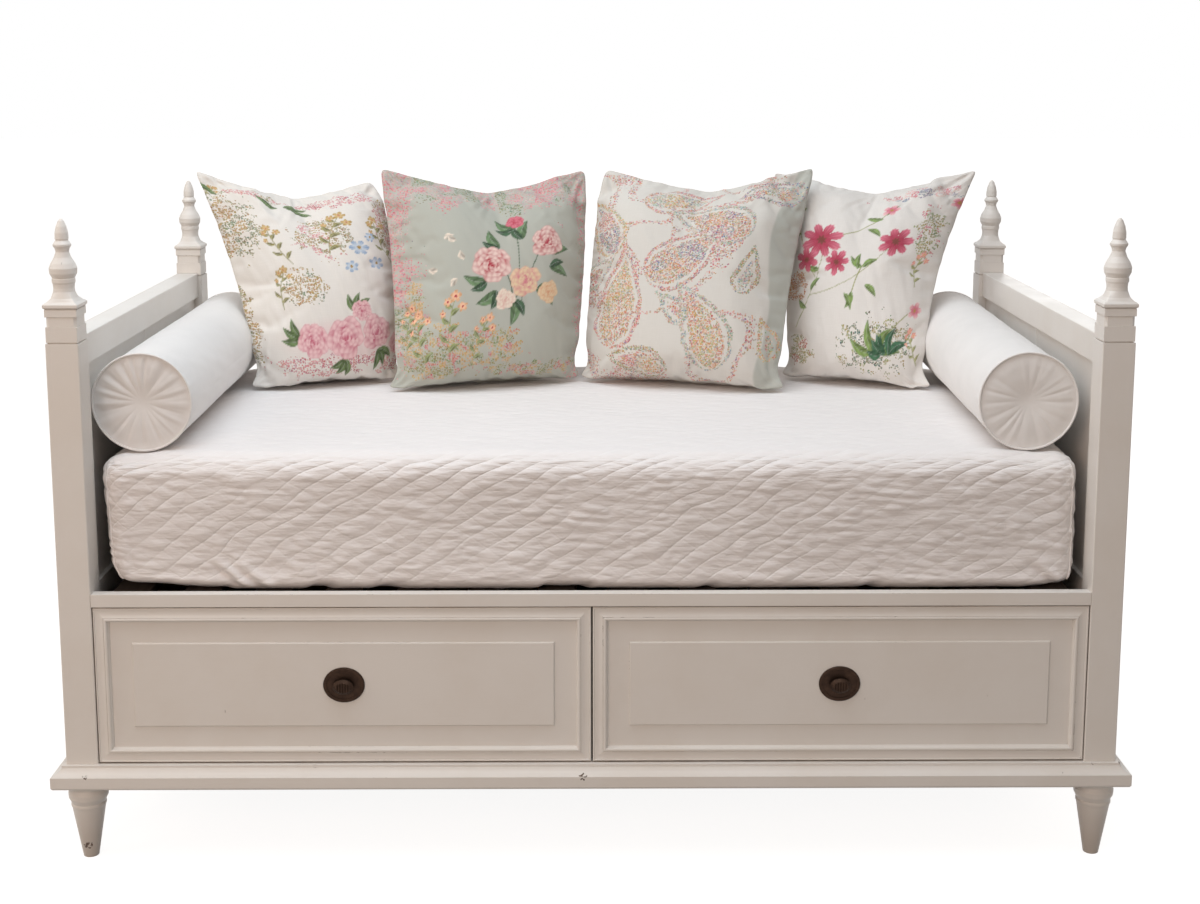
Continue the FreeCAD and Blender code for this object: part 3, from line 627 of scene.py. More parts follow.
@dataclass
class Piping:
    """A covered cord that follows a path, made by one node tree."""

    name: str
    radius: float = 0.0032
    sides: int = 10

    def tree(self, material: Material) -> NodeTree:
        """Make the node tree that sweeps a round cord along a curve.

        Args:
            material: the cord's finish.

        Returns:
            The tree, with its radius as a named input.
        """
        tree = bpy.data.node_groups.new(self.name + "_tree", "GeometryNodeTree")
        tree.interface.new_socket("Geometry", in_out="INPUT", socket_type="NodeSocketGeometry")
        tree.interface.new_socket("Cord Radius", in_out="INPUT", socket_type="NodeSocketFloat")
        tree.interface.new_socket("Geometry", in_out="OUTPUT", socket_type="NodeSocketGeometry")
        start, end = tree.nodes.new("NodeGroupInput"), tree.nodes.new("NodeGroupOutput")
        curve, circle, sweep, shade, real, finish = (tree.nodes.new("GeometryNode" + kind) for kind in (
            "MeshToCurve", "CurvePrimitiveCircle", "CurveToMesh", "SetShadeSmooth", "RealizeInstances",
            "SetMaterial"))
        circle.inputs["Resolution"].default_value = self.sides
        sweep.inputs["Fill Caps"].default_value = True
        finish.inputs["Material"].default_value = material
        for source, output, target, entry in (
                (start, "Geometry", curve, "Mesh"), (start, "Cord Radius", circle, "Radius"),
                (curve, "Curve", sweep, "Curve"), (circle, "Curve", sweep, "Profile Curve"),
                (sweep, "Mesh", shade, "Geometry"), (shade, "Geometry", real, "Geometry"),
                (real, "Geometry", finish, "Geometry"), (finish, "Geometry", end, "Geometry")):
            tree.links.new(source.outputs[output], target.inputs[entry])
        return tree

    def build(self, paths: Sequence[tuple[Array, bool]], material: Material) -> Object:
        """Sweep the cord along each path.

        Args:
            paths: rows of points, each with True where the path closes on itself.
            material: the cord's finish.

        Returns:
            One mesh of all the cords.
        """
        mesh = bpy.data.meshes.new(self.name)
        points, edges = [], []
        for path, closed in paths:
            first = len(points)
            points.extend(map(tuple, path))
            edges.extend((first + k, first + k + 1) for k in range(len(path) - 1))
            if closed:
                edges.append((first + len(path) - 1, first))
        mesh.from_pydata(points, edges, [])
        piece = bpy.data.objects.new(self.name, mesh)
        bpy.context.scene.collection.objects.link(piece)
        tree = self.tree(material)
        modifier = piece.modifiers.new("sweep", "NODES")
        modifier.node_group = tree
        sockets = {item.name: item.identifier for item in tree.interface.items_tree if item.in_out == "INPUT"}
        modifier[sockets["Cord Radius"]] = self.radius
        evaluated_copy(piece)
        return piece


@dataclass
class SoftBlock:
    """A block with rounded edges on a lattice, so that a pattern can run over its edges."""

    name: str
    low: Vector
    high: Vector
    pitch: Triple
    edge_round: float
    low_round: float
    tuck: Optional[float] = None

    def lattice(self) -> tuple[Array, Array, Array]:
        """Number the points and faces of the block's six sides.

        Returns:
            Points on the square block relative to its middle, faces, and each face corner's flat place.
        """
        half = np.array((self.high - self.low) / 2)
        steps = np.maximum(2, np.round(2 * half / np.array(self.pitch))).astype(int)
        sides = []
        for normal, sign in ((2, 1), (1, -1), (1, 1), (0, -1), (0, 1), (2, -1)):
            a, b = [axis for axis in range(3) if axis != normal]
            i, j = np.meshgrid(np.arange(steps[a]), np.arange(steps[b]), indexing="ij")
            if normal == 2 and sign < 0 and self.tuck is not None:
                edges = [np.minimum(k, steps[axis] - 1 - k) * 2 * half[axis] / steps[axis]
                         for k, axis in ((i, a), (j, b))]
                kept = np.minimum(*edges) < self.tuck
                i, j = i[kept], j[kept]
            corner = np.zeros((i.size, 4, 3), int)
            turns = ((0, 0), (1, 0), (1, 1), (0, 1))
            if (sign > 0) == (normal == 1):
                turns = turns[::-1]
            for spot, (da, db) in enumerate(turns):
                corner[:, spot, a] = i.ravel() + da
                corner[:, spot, b] = j.ravel() + db
                corner[:, spot, normal] = steps[normal] if sign > 0 else 0
            place = corner * (2 * half / steps) - half
            drop = half[2] - place[..., 2]
            flat = place[..., :2].copy()
            if normal != 2:
                flat[..., normal] = sign * (half[normal] + drop)
            elif sign < 0:
                flat[..., 1] -= 4 * half[1]
            sides.append((corner.reshape(-1, 3), flat.reshape(-1, 2)))
        corners = np.concatenate([side[0] for side in sides])
        flat = np.concatenate([side[1] for side in sides])
        keys = (corners[:, 0] * (steps[1] + 1) + corners[:, 1]) * (steps[2] + 1) + corners[:, 2]
        _, first, numbers = np.unique(keys, return_index=True, return_inverse=True)
        points = corners[first] * (2 * half / steps) - half
        return points, numbers.reshape(-1, 4), flat

    def rounded(self, points: Array) -> tuple[Array, Array]:
        """Round the block's edges.

        Args:
            points: points on the square block relative to its middle.

        Returns:
            The rounded points in place, and the way out of the surface at each.
        """
        half = np.array((self.high - self.low) / 2)
        level = np.clip(-points[:, 2] / half[2], 0, 1)
        radius = np.repeat((self.edge_round + (self.low_round - self.edge_round) * level)[:, None], 3, 1)
        radius[:, 2] = np.where(points[:, 2] < 0, self.low_round, self.edge_round)
        inner = np.clip(points, radius - half, half - radius)
        away = (points - inner) / radius
        away /= np.linalg.norm(away, axis=1, keepdims=True)
        out = away / radius
        out /= np.linalg.norm(out, axis=1, keepdims=True)
        middle = np.array((self.high + self.low) / 2)
        return middle + inner + radius * away, out

    def build(self) -> tuple[Object, Array, Array]:
        """Make the rounded block with its flat places as a UV map.

        Returns:
            The object, the way out at each point, and each face corner's flat place.
        """
        points, faces, flat = self.lattice()
        places, out = self.rounded(points)
        piece = mesh_object(self.name, places, faces)
        lay_flat(piece.data, "cloth", flat)
        return piece, out, flat


@dataclass
class QuiltedCover:
    """Quilted cover round the mattress, with its puffs, sagging hem and tuck folds."""

    pitch: Triple = (0.0052, 0.0052, 0.0030)
    edge_round: float = 0.056
    low_round: float = 0.034
    tuck: float = 0.058
    cell_wide: float = 0.057
    cell_tall: float = 0.039
    drift: tuple[float, float] = (0.0095, 0.0070)
    puff: float = 0.0042
    pucker: float = 0.0024
    billow: float = 0.0022
    draw_in: float = 0.040
    widen: tuple[float, float] = (0.016, 0.011)
    dents: tuple[float, float] = (-0.873, 0.861)
    dent: float = 0.0075
    fold: float = 0.006
    hem_lift: float = 0.0055
    end_lift: float = 0.014
    hem_out: float = 0.003
    seam_cord: float = 0.0015
    fold_places: tuple[tuple[float, float, float, float], ...] = (
        (-0.735, 0.606, -0.655, 0.538), (-0.690, 0.600, -0.610, 0.540), (0.842, 0.600, 0.905, 0.545))

    def stitches(self, flat: Array) -> Array:
        """Count the stitched lines up to flat places on the cloth.

        Args:
            flat: places on the cloth.

        Returns:
            Number of rising and of falling lines passed, whole on a line.
        """
        across = flat[:, 0] + self.drift[0] * value_noise(flat[:, 0], flat[:, 1], (0.07, 0.05), 11)
        down = flat[:, 1] + self.drift[1] * value_noise(flat[:, 0], flat[:, 1], (0.06, 0.06), 12)
        across, down = across / self.cell_wide, down / self.cell_tall
        return np.stack((across - down, across + down), 1)

    def puffs(self, flat: Array) -> Array:
        """Height of the padding at flat places, from 0 on the stitched lines to 1 between them."""
        rising, falling = np.abs(np.sin(math.pi * self.stitches(flat))).T
        fullness = 0.80 + 0.20 * value_noise(flat[:, 0], flat[:, 1], (0.045, 0.032), 14)
        return fullness * rising ** 0.75 * (0.50 + 0.50 * falling ** 0.85)

    def puckers(self, points: Array, out: Array, height: Array) -> Array:
        """Level, lens-shaped puckers with sharp creases, between the stitched lines.

        Args:
            points: places on the smooth cover.
            out: the way out at each point.
            height: the padding's height there.

        Returns:
            Depth of the wrinkles.
        """
        around = points[:, 0] + points[:, 1]
        upright = value_noise(around, points[:, 2] + 0.10 * around, (0.040, 0.0150), 31)
        upright = 2 * np.abs(upright) ** 0.8 - 1
        level = value_noise(points[:, 0], points[:, 1], (0.050, 0.0180), 32)
        wrinkle = upright + (0.6 * level - upright) * smooth(out[:, 2], 0.35, 0.85)
        turning = smooth(out[:, 2], 0.05, 0.4) * smooth(1 - out[:, 2], 0.05, 0.3)
        return self.pucker * (1 - wrinkle) * (0.25 + 0.75 * height) * (1 - 0.6 * turning)

    def relief(self, mesh: Mesh, out: Array, flat: Array, fall: Array) -> Array:
        """Depth of the quilting, with what its finish needs kept on the mesh.

        Args:
            mesh: the smooth cover.
            out: the way out at each point.
            flat: each face corner's place on the cloth.
            fall: share of the way down the cover at each point.

        Returns:
            Depth below the smooth cover at each point.
        """
        points, numbers = read_points(mesh), corner_points(mesh)
        shares = np.bincount(numbers, minlength=len(points))
        height = np.bincount(numbers, self.puffs(flat), len(points)) / shares
        lay_flat(mesh, "stitch", self.stitches(flat))
        across, around = points[:, 0], points[:, 1] + points[:, 2]
        plain, top = smooth(fall, 0.86, 0.95), smooth(out[:, 2], 0.6, 0.95)
        firm = 0.35 + 0.65 * smooth(value_noise(across, around, (0.11, 0.07), 15), -0.6, 0.5)
        height = 1 - firm * (1 - height)
        store(mesh, "quilt", firm * (1 - 0.9 * plain) * (1 - 0.65 * top))
        store(mesh, "gather", (1 - 0.8 * plain) * (1 - 0.35 * top))
        wander = value_noise(across, around, (0.16, 0.09), 17)
        depth = self.puff * (1 - height) + self.billow * (1 - wander) + self.puckers(points, out, height)
        return depth * (1 - 0.7 * plain) * (1 - 0.30 * top)

    def folds(self, points: Array) -> Array:
        """Slanted folds where the cloth is tucked under.

        Args:
            points: the quilted surface.

        Returns:
            How far the folds stand out of the front.
        """
        height = np.zeros(len(points))
        for x0, z0, x1, z1 in self.fold_places:
            along = np.array((x1 - x0, z1 - z0))
            length = np.linalg.norm(along)
            along = along / length
            reach = (points[:, 0] - x0) * along[0] + (points[:, 2] - z0) * along[1]
            aside = (points[:, 2] - z0) * along[0] - (points[:, 0] - x0) * along[1]
            ridge = np.exp(-((aside - 0.004) / 0.009) ** 2) - 0.9 * np.exp(-((aside + 0.011) / 0.008) ** 2)
            fade = smooth(reach, -0.01, 0.05) * smooth(length + 0.02 - reach, 0.0, 0.03)
            height += self.fold * ridge * fade
        return height

    def sag(self, points: Array, out: Array, low: Vector, high: Vector) -> Array:
        """Pull the lower ends in, fold the cloth where it is tucked, and let the hem wander.

        Args:
            points: the quilted surface.
            out: the way out at each point.
            low: lowest corner of the cover.
            high: highest corner of the cover.

        Returns:
            The moved points.
        """
        moved = points.copy()
        across = points[:, 0]
        fall = np.clip((high.z - points[:, 2]) / (high.z - low.z), 0, 1)
        top, front = smooth(out[:, 2], 0.3, 0.9), smooth(-out[:, 1], 0.3, 0.9)
        for place in self.dents:
            moved[:, 2] -= self.dent * top * np.exp(-((across - place) / 0.06) ** 2)
        left, right = smooth(-across, 0.60, -low.x), smooth(across, 0.70, high.x)
        moved[:, 0] *= 1 + np.where(across < 0, *self.widen) / high.x
        moved[:, 0] += self.draw_in * (left * fall ** 3.5 - 0.4 * right * fall ** 5)
        moved[:, 1] -= front * self.folds(points)
        hem, near = smooth(fall, 0.80, 1.0), smooth(-points[:, 1], 0.30, 0.48)
        ripple = value_noise(across + points[:, 1], points[:, 1] * 0, (0.062, 1.0), 19)
        ends = smooth(-across, 0.66, 0.93) + 0.6 * smooth(across, 0.82, 0.93)
        moved[:, 2] += hem * near * (self.hem_lift * smooth(ripple, 0.25, 0.9) + self.end_lift * ends)
        moved[:, 1] -= self.hem_out * front * hem * (1 - smooth(ripple, 0.0, 0.9))
        return moved

    def corners(self, square: Array, moved: Array, out: Array) -> list[tuple[Array, bool]]:
        """Find the four upright corners for their seams.

        Args:
            square: the lattice's points less its half size, 0 on its sides.
            moved: the finished surface.
            out: the way out at each point.

        Returns:
            Open paths up the corners.
        """
        upright = np.flatnonzero((np.abs(square[:, 0]) < 1e-6) & (np.abs(square[:, 1]) < 1e-6))
        paths = []
        for side_x, side_y in ((-1, -1), (1, -1), (-1, 1), (1, 1)):
            edge = upright[(moved[upright, 0] * side_x > 0) & (moved[upright, 1] * side_y > 0)]
            edge = edge[np.argsort(moved[edge, 2])]
            paths.append((moved[edge] + out[edge] * self.seam_cord * 0.4, False))
        return paths

    def build(self, finish: Material) -> list[Object]:
        """Model the cover and the piped seams at its corners.

        Args:
            finish: the quilted cotton.

        Returns:
            The cover and its corner seams, seated on the bed.
        """
        low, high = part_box("mattress_cover")
        block = SoftBlock("quilted_cover", low, high, self.pitch, self.edge_round, self.low_round, self.tuck)
        piece, out, flat = block.build()
        points = read_points(piece.data)
        fall = np.clip((high.z - points[:, 2]) / (high.z - low.z), 0, 1)
        depth = self.relief(piece.data, out, flat, fall)
        moved = self.sag(points - out * depth[:, None], out, low, high)
        write_points(piece.data, moved)
        piece.data.materials.append(finish)
        square = np.abs(block.lattice()[0]) - np.array((high - low) / 2)
        seams = Piping("cover_corner_seams", self.seam_cord).build(self.corners(square, moved, out), finish)
        return [settle(piece, "quilted_cotton", "mattress_cover"), settle(seams, "quilted_cotton")]


@dataclass
class MattressCore:
    """The mattress inside the cover, seen only from below, in striped ticking."""

    pitch: Triple = (0.03, 0.03, 0.03)
    gap: float = 0.0075
    rounds: tuple[float, float] = (0.045, 0.05)
    tuft_pitch: float = 0.18
    tuft: float = 0.003

    def build(self, finish: Material) -> Object:
        """Model the mattress.

        Args:
            finish: the ticking.

        Returns:
            The mattress, seated on the bed.
        """
        low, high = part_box("mattress")
        inset = Vector((self.gap,) * 3)
        block = SoftBlock("mattress_core", low + inset, high - inset, self.pitch, *self.rounds)
        piece, out, _ = block.build()
        points = read_points(piece.data)
        tuft = np.prod(np.sin(math.pi * points[:, :2] / self.tuft_pitch), axis=1)
        write_points(piece.data, points - out * (self.tuft * tuft ** 2)[:, None])
        piece.data.materials.append(finish)
        return settle(piece, "mattress_ticking", "mattress")


@dataclass
class Bolster:
    """A round bolster with gathered ends and piped rims."""

    node: str
    seed: int
    around: int = 168
    along: int = 130
    rings: int = 34
    lean: tuple[float, float] = (0.0, 0.0)
    pleat: float = 0.0046
    forward: float = 0.030
    grow: float = 0.005
    sink: float = 0.0085
    rest: float = 0.0065
    gathers: int = 17
    dip: float = 0.007
    rim_in: float = 0.0034
    dent: float = 0.0012
    crease: float = 0.0006
    ripple: float = 0.0008
    ripple_reach: float = 0.022
    rear_turn: float = 0.4
    welt: float = 0.0023

    def end_height(self, share: float, angle: Array) -> Array:
        """How far the end's cloth is drawn in.

        Args:
            share: distance from the middle as a share of the radius.
            angle: angle round the middle.

        Returns:
            Depth behind the end's foremost plane.
        """
        wobble = 0.10 * np.sin(2 * angle + self.seed) + 0.07 * np.sin(5 * angle + 2.1 * self.seed)
        fold = np.abs(np.cos(self.gathers / 2 * (angle + wobble)))
        fine = np.abs(np.cos(self.gathers * (angle + 0.7 * wobble) + 0.6))
        uneven = 0.75 + 0.45 * np.sin(3 * angle + 1.7 * self.seed) * np.cos(2 * angle + self.seed)
        reach = smooth(share, 0.12, 0.60) * smooth(0.99 - share, 0.0, 0.22)
        fine_reach = 0.3 * smooth(share, 0.35, 0.8) * smooth(0.99 - share, 0, 0.15)
        pleat = self.pleat * (uneven * (1 - fold) ** 1.2 * reach + (1 - fine) ** 1.2 * fine_reach)
        return self.dip * (1 - smooth(share, 0.0, 0.55)) + self.rim_in * smooth(share, 0.70, 0.97) + pleat

    def side_radius(self, radius: float, angle: Array, y: float, near: float) -> Array:
        """Radius of the long side, with its dents, creases and the gathers at its rims.

        Args:
            radius: the bolster's radius.
            angle: angle round the middle.
            y: place along the bolster.
            near: distance to the nearer rim.

        Returns:
            Radius at each angle.
        """
        level = angle * 0 + y
        shift = 3 * value_noise(angle * 0.1, level, (0.08, 0.3), self.seed)
        ripple = np.sin(self.gathers * 2 * angle + shift)
        dent = value_noise(angle * radius, level, (0.13, 0.21), self.seed + 1)
        crease = value_noise(angle * radius + 0.35 * y, level, (0.022, 0.16), self.seed + 2)
        return radius - 0.0006 - (self.dent * (1 + dent) + self.crease * (1 + crease)
                                  + self.ripple * (1 + ripple) * math.exp(-near / self.ripple_reach))

    def rows(self, radius: float, front: float, rear: float, angle: Array) -> list[tuple[Array, Array]]:
        """Rings of the skin, from the middle of the front end to the middle of the rear end.

        Args:
            radius: the bolster's radius.
            front: y of the front end.
            rear: y of the rear end.
            angle: angles round the middle.

        Returns:
            Radius and y at each angle, ring by ring.
        """
        shares = np.linspace(0.012, 0.955, self.rings)
        rows = [(angle * 0 + share * radius, front + self.end_height(share, angle)) for share in shares]
        inset = 2 * self.welt
        for t in np.linspace(0, 1, self.along):
            y = front + inset + (rear - front - 2 * inset) * t
            rows.append((self.side_radius(radius, angle, y, min(y - front, rear - y)), angle * 0 + y))
        rows.extend((angle * 0 + share * radius, rear - self.end_height(share, angle + self.rear_turn))
                    for share in shares[::-1])
        return rows

    def build(self, finish: Material) -> list[Object]:
        """Model the bolster and its piping.

        Args:
            finish: the plain cotton.

        Returns:
            The bolster and its piping, seated on the bed.
        """
        low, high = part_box(self.node)
        radius = (high.x - low.x) / 2 + self.grow
        across, up = (low.x + high.x) / 2, low.z + radius - self.sink
        front, rear, floor = low.y - self.forward, high.y, low.z - self.rest
        angle = np.arange(self.around) * 2 * math.pi / self.around
        rows = self.rows(radius, front, rear, angle)
        points = np.concatenate([np.stack((across + r * np.cos(angle), y, up + r * np.sin(angle)), 1)
                                 for r, y in rows])
        points[:, 2] = np.maximum(points[:, 2], floor)
        points[:, 0] += np.interp(points[:, 1], (front, rear), self.lean)
        i, j = np.meshgrid(np.arange(len(rows) - 1), np.arange(self.around), indexing="ij")
        following = (j + 1) % self.around
        quads = np.stack((i * self.around + j, i * self.around + following,
                          (i + 1) * self.around + following, (i + 1) * self.around + j), -1).reshape(-1, 4)
        piece = mesh_object(self.node.replace("bolster", "gathered_bolster"), points, quads[:, ::-1])
        self.close_ends(piece.data)
        piece.data.materials.append(finish)
        settle(piece, "bolster_cotton", self.node)
        rims, reach = [], radius - self.welt * 1.15
        for y, aside in zip((front + self.welt, rear - self.welt), self.lean):
            height = np.maximum(up + reach * np.sin(angle), floor)
            rims.append((np.stack((across + aside + reach * np.cos(angle), angle * 0 + y, height), 1), True))
        piping = Piping(self.node + "_piping", self.welt).build(rims, finish)
        return [piece, settle(piping, "bolster_cotton")]

    def close_ends(self, mesh: Mesh) -> None:
        """Close the two small holes in the middle of the ends, and face the surface outwards."""
        work = bmesh.new()
        work.from_mesh(mesh)
        bmesh.ops.holes_fill(work, edges=[edge for edge in work.edges if edge.is_boundary])
        bmesh.ops.recalc_face_normals(work, faces=work.faces)
        work.to_mesh(mesh)
        work.free()
        mesh.shade_smooth()


class Canvas:
    """A print being painted on the flat cloth: a colour, and specks of a colour, for each point."""

    def __init__(self, u: Array, v: Array, ground: Colour) -> None:
        """Start with a plain ground and no specks."""
        self.u, self.v = u, v
        self.rgb = np.tile(np.array(ground, float), (len(u), 1))
        self.tint = np.tile(np.array(ground, float), (len(u), 1))
        self.density = np.zeros(len(u))

    def lay(self, cover: Array, colour: Union[Colour, Array]) -> None:
        """Paint a colour where cover is 1."""
        cover = np.clip(cover, 0.0, 1.0)[:, None]
        self.rgb = self.rgb * (1 - cover) + np.asarray(colour, float) * cover

    def strew(self, density: Array, colour: Colour) -> None:
        """Strew specks of a colour where they come out denser than those already there."""
        more = density > self.density
        self.tint[more] = colour
        self.density = np.maximum(self.density, density)

    def clear(self, cover: Array) -> None:
        """Take the specks away where cover is 1."""
        self.density = self.density * (1 - np.clip(cover, 0, 1))

    def around(self, x: float, y: float, turn: float = 0.0) -> tuple[Array, Array]:
        """Places relative to a point, turned by an angle."""
        dx, dy = self.u - x, self.v - y
        return dx * math.cos(turn) + dy * math.sin(turn), dy * math.cos(turn) - dx * math.sin(turn)

    def petal(self, x: float, y: float, size: float, turn: float, deep: Colour, pale: Colour) -> None:
        """Paint one broad petal, deep at its foot and pale at its rim.

        Args:
            x: place of its middle across.
            y: place of its middle up.
            size: half its length.
            turn: the way its rim points.
            deep: colour at its foot.
            pale: colour at its rim.
        """
        a, b = self.around(x, y, turn)
        a, b = a / size, b / size
        r = np.hypot(a, b * 0.86) + 0.07 * np.sin(4.0 * b + 3.0 * turn)
        body = smooth(1.0 - r, -0.03, 0.09)
        tone = 0.02 + 0.95 * smooth(a, -0.60, 0.85) + 0.16 * np.sin(8.5 * b + 3.0 * a + 5.0 * turn)
        tone = np.clip(tone, 0, 1)[:, None]
        self.lay(body, np.array(deep) * (1 - tone) + np.array(pale) * tone)
        self.lay(0.42 * body * smooth(r, 0.80, 0.98), deep)

    def rose(self, x: float, y: float, size: float, deep: Colour, pale: Colour, turn: float) -> None:
        """Paint a full rose, ring by ring of petals.

        Args:
            x: place across.
            y: place up.
            size: radius.
            deep: colour in the folds.
            pale: colour of the petal edges.
            turn: angle of the first petal.
        """
        rings = ((6, 0.60, 0.44), (5, 0.37, 0.40), (4, 0.19, 0.31), (3, 0.07, 0.2))
        for ring, (count, reach, broad) in enumerate(rings):
            for k in range(count):
                uneven = 0.3 * math.sin(5.0 * k + 2.1 * ring + 3 * turn)
                angle = turn + 0.9 * ring + 2 * math.pi * k / count + uneven
                far = reach * size * (1 + 0.14 * math.sin(3.0 * k + turn))
                spot = x + far * math.cos(angle), y + far * math.sin(angle)
                self.petal(*spot, broad * size, angle, deep, pale)
        self.clear(smooth(1.05 - np.hypot(self.u - x, self.v - y) / size, 0.0, 0.1))

    def blossom(self, x: float, y: float, size: float, petals: int, tip: Colour, base: Colour, eye: Colour,
                turn: float) -> None:
        """Paint an open flower with streaked petals.

        Args:
            x: place across.
            y: place up.
            size: radius.
            petals: number of petals.
            tip: colour at the petal tips.
            base: colour near the middle.
            eye: colour of the middle.
            turn: angle of the first petal.
        """
        a, b = self.around(x, y, turn)
        r, t = np.hypot(a, b) / size, np.arctan2(b, a)
        lobe = np.abs(np.cos(petals / 2 * t + 0.12 * np.sin(2 * t + turn)))
        edge = 0.40 + (0.52 + 0.08 * np.cos(2 * t + turn)) * lobe ** 0.55
        edge = edge - 0.06 * np.abs(np.cos(petals * 2.5 * t))
        body = smooth(edge - r, -0.02, 0.05)
        streak = 0.26 * np.sin(petals * 4 * t + 3 * r + turn) * smooth(r, 0.15, 0.6)
        tone = np.clip(smooth(r, 0.15, 0.95) + streak - 0.40 * (1 - lobe), 0, 1)[:, None]
        self.lay(body, np.array(base) * (1 - tone) + np.array(tip) * tone)
        self.lay(smooth(0.20 + 0.05 * np.cos(7 * t) - r, -0.02, 0.05), eye)
        self.clear(body)

    def leaf(self, x: float, y: float, length: float, width: float, turn: float, colour: Colour) -> None:
        """Paint a pointed leaf with a pale rib.

        Args:
            x: place of its stalk across.
            y: place of its stalk up.
            length: from stalk to tip.
            width: half its breadth.
            turn: direction of its tip.
            colour: its green.
        """
        a, b = self.around(x, y, turn)
        b = b - 0.12 * length * np.sin(math.pi * np.clip(a / length, 0, 1))
        s = np.clip(a / length, 0, 1)
        half = width * np.sin(math.pi * s ** 0.8) ** 0.9
        inside = smooth(half - np.abs(b), -0.0004, 0.0012) * ((a > 0) & (a < length))
        tone = 0.75 + 0.45 * (b > 0) + 0.20 * np.sin(a / 0.0030 + np.abs(b) / 0.002)
        self.lay(inside, np.clip(np.array(colour) * tone[:, None], 0, 1))
        self.lay(0.5 * inside * smooth(0.0012 - np.abs(b), 0, 0.0008), np.array(colour) * 0.5 + 0.32)
        self.clear(inside)

    def stem(self, points: Sequence[tuple[float, float]], width: float, colour: Colour) -> None:
        """Paint a thin stem along a bent line.

        Args:
            points: start, bend and end of the stem.
            width: half its breadth.
            colour: its colour.
        """
        start, bend, end = (np.array(point, float) for point in points)
        nearest = np.full(len(self.u), 9.0)
        for t in np.linspace(0, 1, 60):
            spot = start * (1 - t) ** 2 + 2 * bend * t * (1 - t) + end * t * t
            nearest = np.minimum(nearest, np.hypot(self.u - spot[0], self.v - spot[1]))
        self.lay(0.9 * smooth(width * 1.6 - nearest, 0, width), colour)

    def sprig(self, x: float, y: float, size: float, turn: float, leaf: Colour, flower: Colour,
              eye: Colour) -> None:
        """Paint a small branch with leaves in pairs and blossoms at its end.

        Args:
            x: place of its foot across.
            y: place of its foot up.
            size: its length.
            turn: the way it grows.
            leaf: colour of leaves and stem.
            flower: colour of the blossoms.
            eye: colour of their middles.
        """
        way = np.array((math.cos(turn), math.sin(turn)))
        side = np.array((-way[1], way[0]))
        foot = np.array((x, y))
        tip = foot + way * size
        self.stem((foot, foot + way * size * 0.5 + side * size * 0.14, tip), 0.0011, leaf)
        for k, share in enumerate((0.14, 0.28, 0.42, 0.55, 0.68, 0.80)):
            spot = foot + way * size * share + side * size * 0.28 * share * (1 - share)
            swing = 0.9 if k % 2 else -0.9
            self.leaf(spot[0], spot[1], size * (0.26 - 0.1 * share), size * 0.045, turn + swing, leaf)
        pale = tuple(min(1.0, value * 1.2 + 0.15) for value in flower)
        heads = ((1.0, 0.0, 0.12), (0.90, 0.13, 0.09), (0.84, -0.13, 0.10), (0.70, 0.20, 0.07))
        for share, aside, scale in heads:
            spot = foot + way * size * share + side * size * aside
            self.blossom(spot[0], spot[1], size * scale, 5, flower, pale, eye, turn + aside * 7)

    def foliage(self, x: float, y: float, size: tuple[float, float], colours: Sequence[Colour], seed: int,
                density: float = 0.75) -> None:
        """Strew a loose bush of specks.

        Args:
            x: place of its middle across.
            y: place of its middle up.
            size: half its breadth and half its height.
            colours: colours of its specks, in patches.
            seed: picks the patches.
            density: how closely the specks lie.
        """
        reach = 1.0 - np.hypot((self.u - x) / size[0], (self.v - y) / size[1])
        for k, colour in enumerate(colours):
            hills = value_noise(self.u, self.v, (0.017, 0.015), seed + 7 * k)
            cover = smooth(reach + 0.5 * hills, 0.05, 0.45) * smooth(hills, -0.45, 0.25)
            self.strew(density * cover, colour)

    def drop(self, x: float, y: float, size: float, turn: float, tints: Sequence[Colour], seed: int) -> None:
        """Strew a large curved drop of specks with a bare ring inside its border.

        Args:
            x: place across.
            y: place up.
            size: length of the drop.
            turn: the way its tip points.
            tints: colours of the border, the middle and the patches between.
            seed: picks the patches.
        """
        a, b = self.around(x, y, turn)
        s = a / size
        middle = 0.26 * size * np.clip(s, 0, 1) ** 2
        half = size * 0.62 * np.sqrt(np.clip(s + 0.35, 0, None)) * np.clip(1.0 - s, 0, None) ** 1.1
        inside = half - np.abs(b - middle)
        inside = inside + 0.003 * value_noise(self.u, self.v, (0.016, 0.016), seed)
        body = smooth(inside, -0.001, 0.002) * (s > -0.35) * (s < 1)
        border = body * smooth(0.013 - inside, 0, 0.003)
        heart = body * smooth(inside, 0.017, 0.021)
        self.strew(0.92 * border, tints[0])
        patches = value_noise(self.u, self.v, (0.028, 0.028), seed + 1)
        self.strew(heart * np.where(patches > 0, 0.88, 0.0), tints[1])
        self.strew(heart * np.where(patches > 0, 0.0, 0.80), tints[2])


class Print(Enum):
    """Designs of the four cushion covers, all plain garden florals."""

    SPRIGS = "sprig_linen"
    ROSES = "rose_linen"
    DROPS = "dotted_cotton"
    FLOWERS = "flower_linen"

    def finish(self) -> PrintedLinen:
        """The printed cloth, its specks more mixed in colour where the design is all specks."""
        return PrintedLinen(self.value, 0.62 if self is Print.DROPS else 0.25)

    def paint(self, u: Array, v: Array) -> Canvas:
        """Colour the cloth.

        Args:
            u: places across the cushion, from its middle, in metres.
            v: places up the cushion, from its middle, in metres.

        Returns:
            The painted canvas.
        """
        design = {Print.SPRIGS: paint_sprigs, Print.ROSES: paint_roses, Print.DROPS: paint_drops,
                  Print.FLOWERS: paint_flowers}[self]
        return design(u, v)


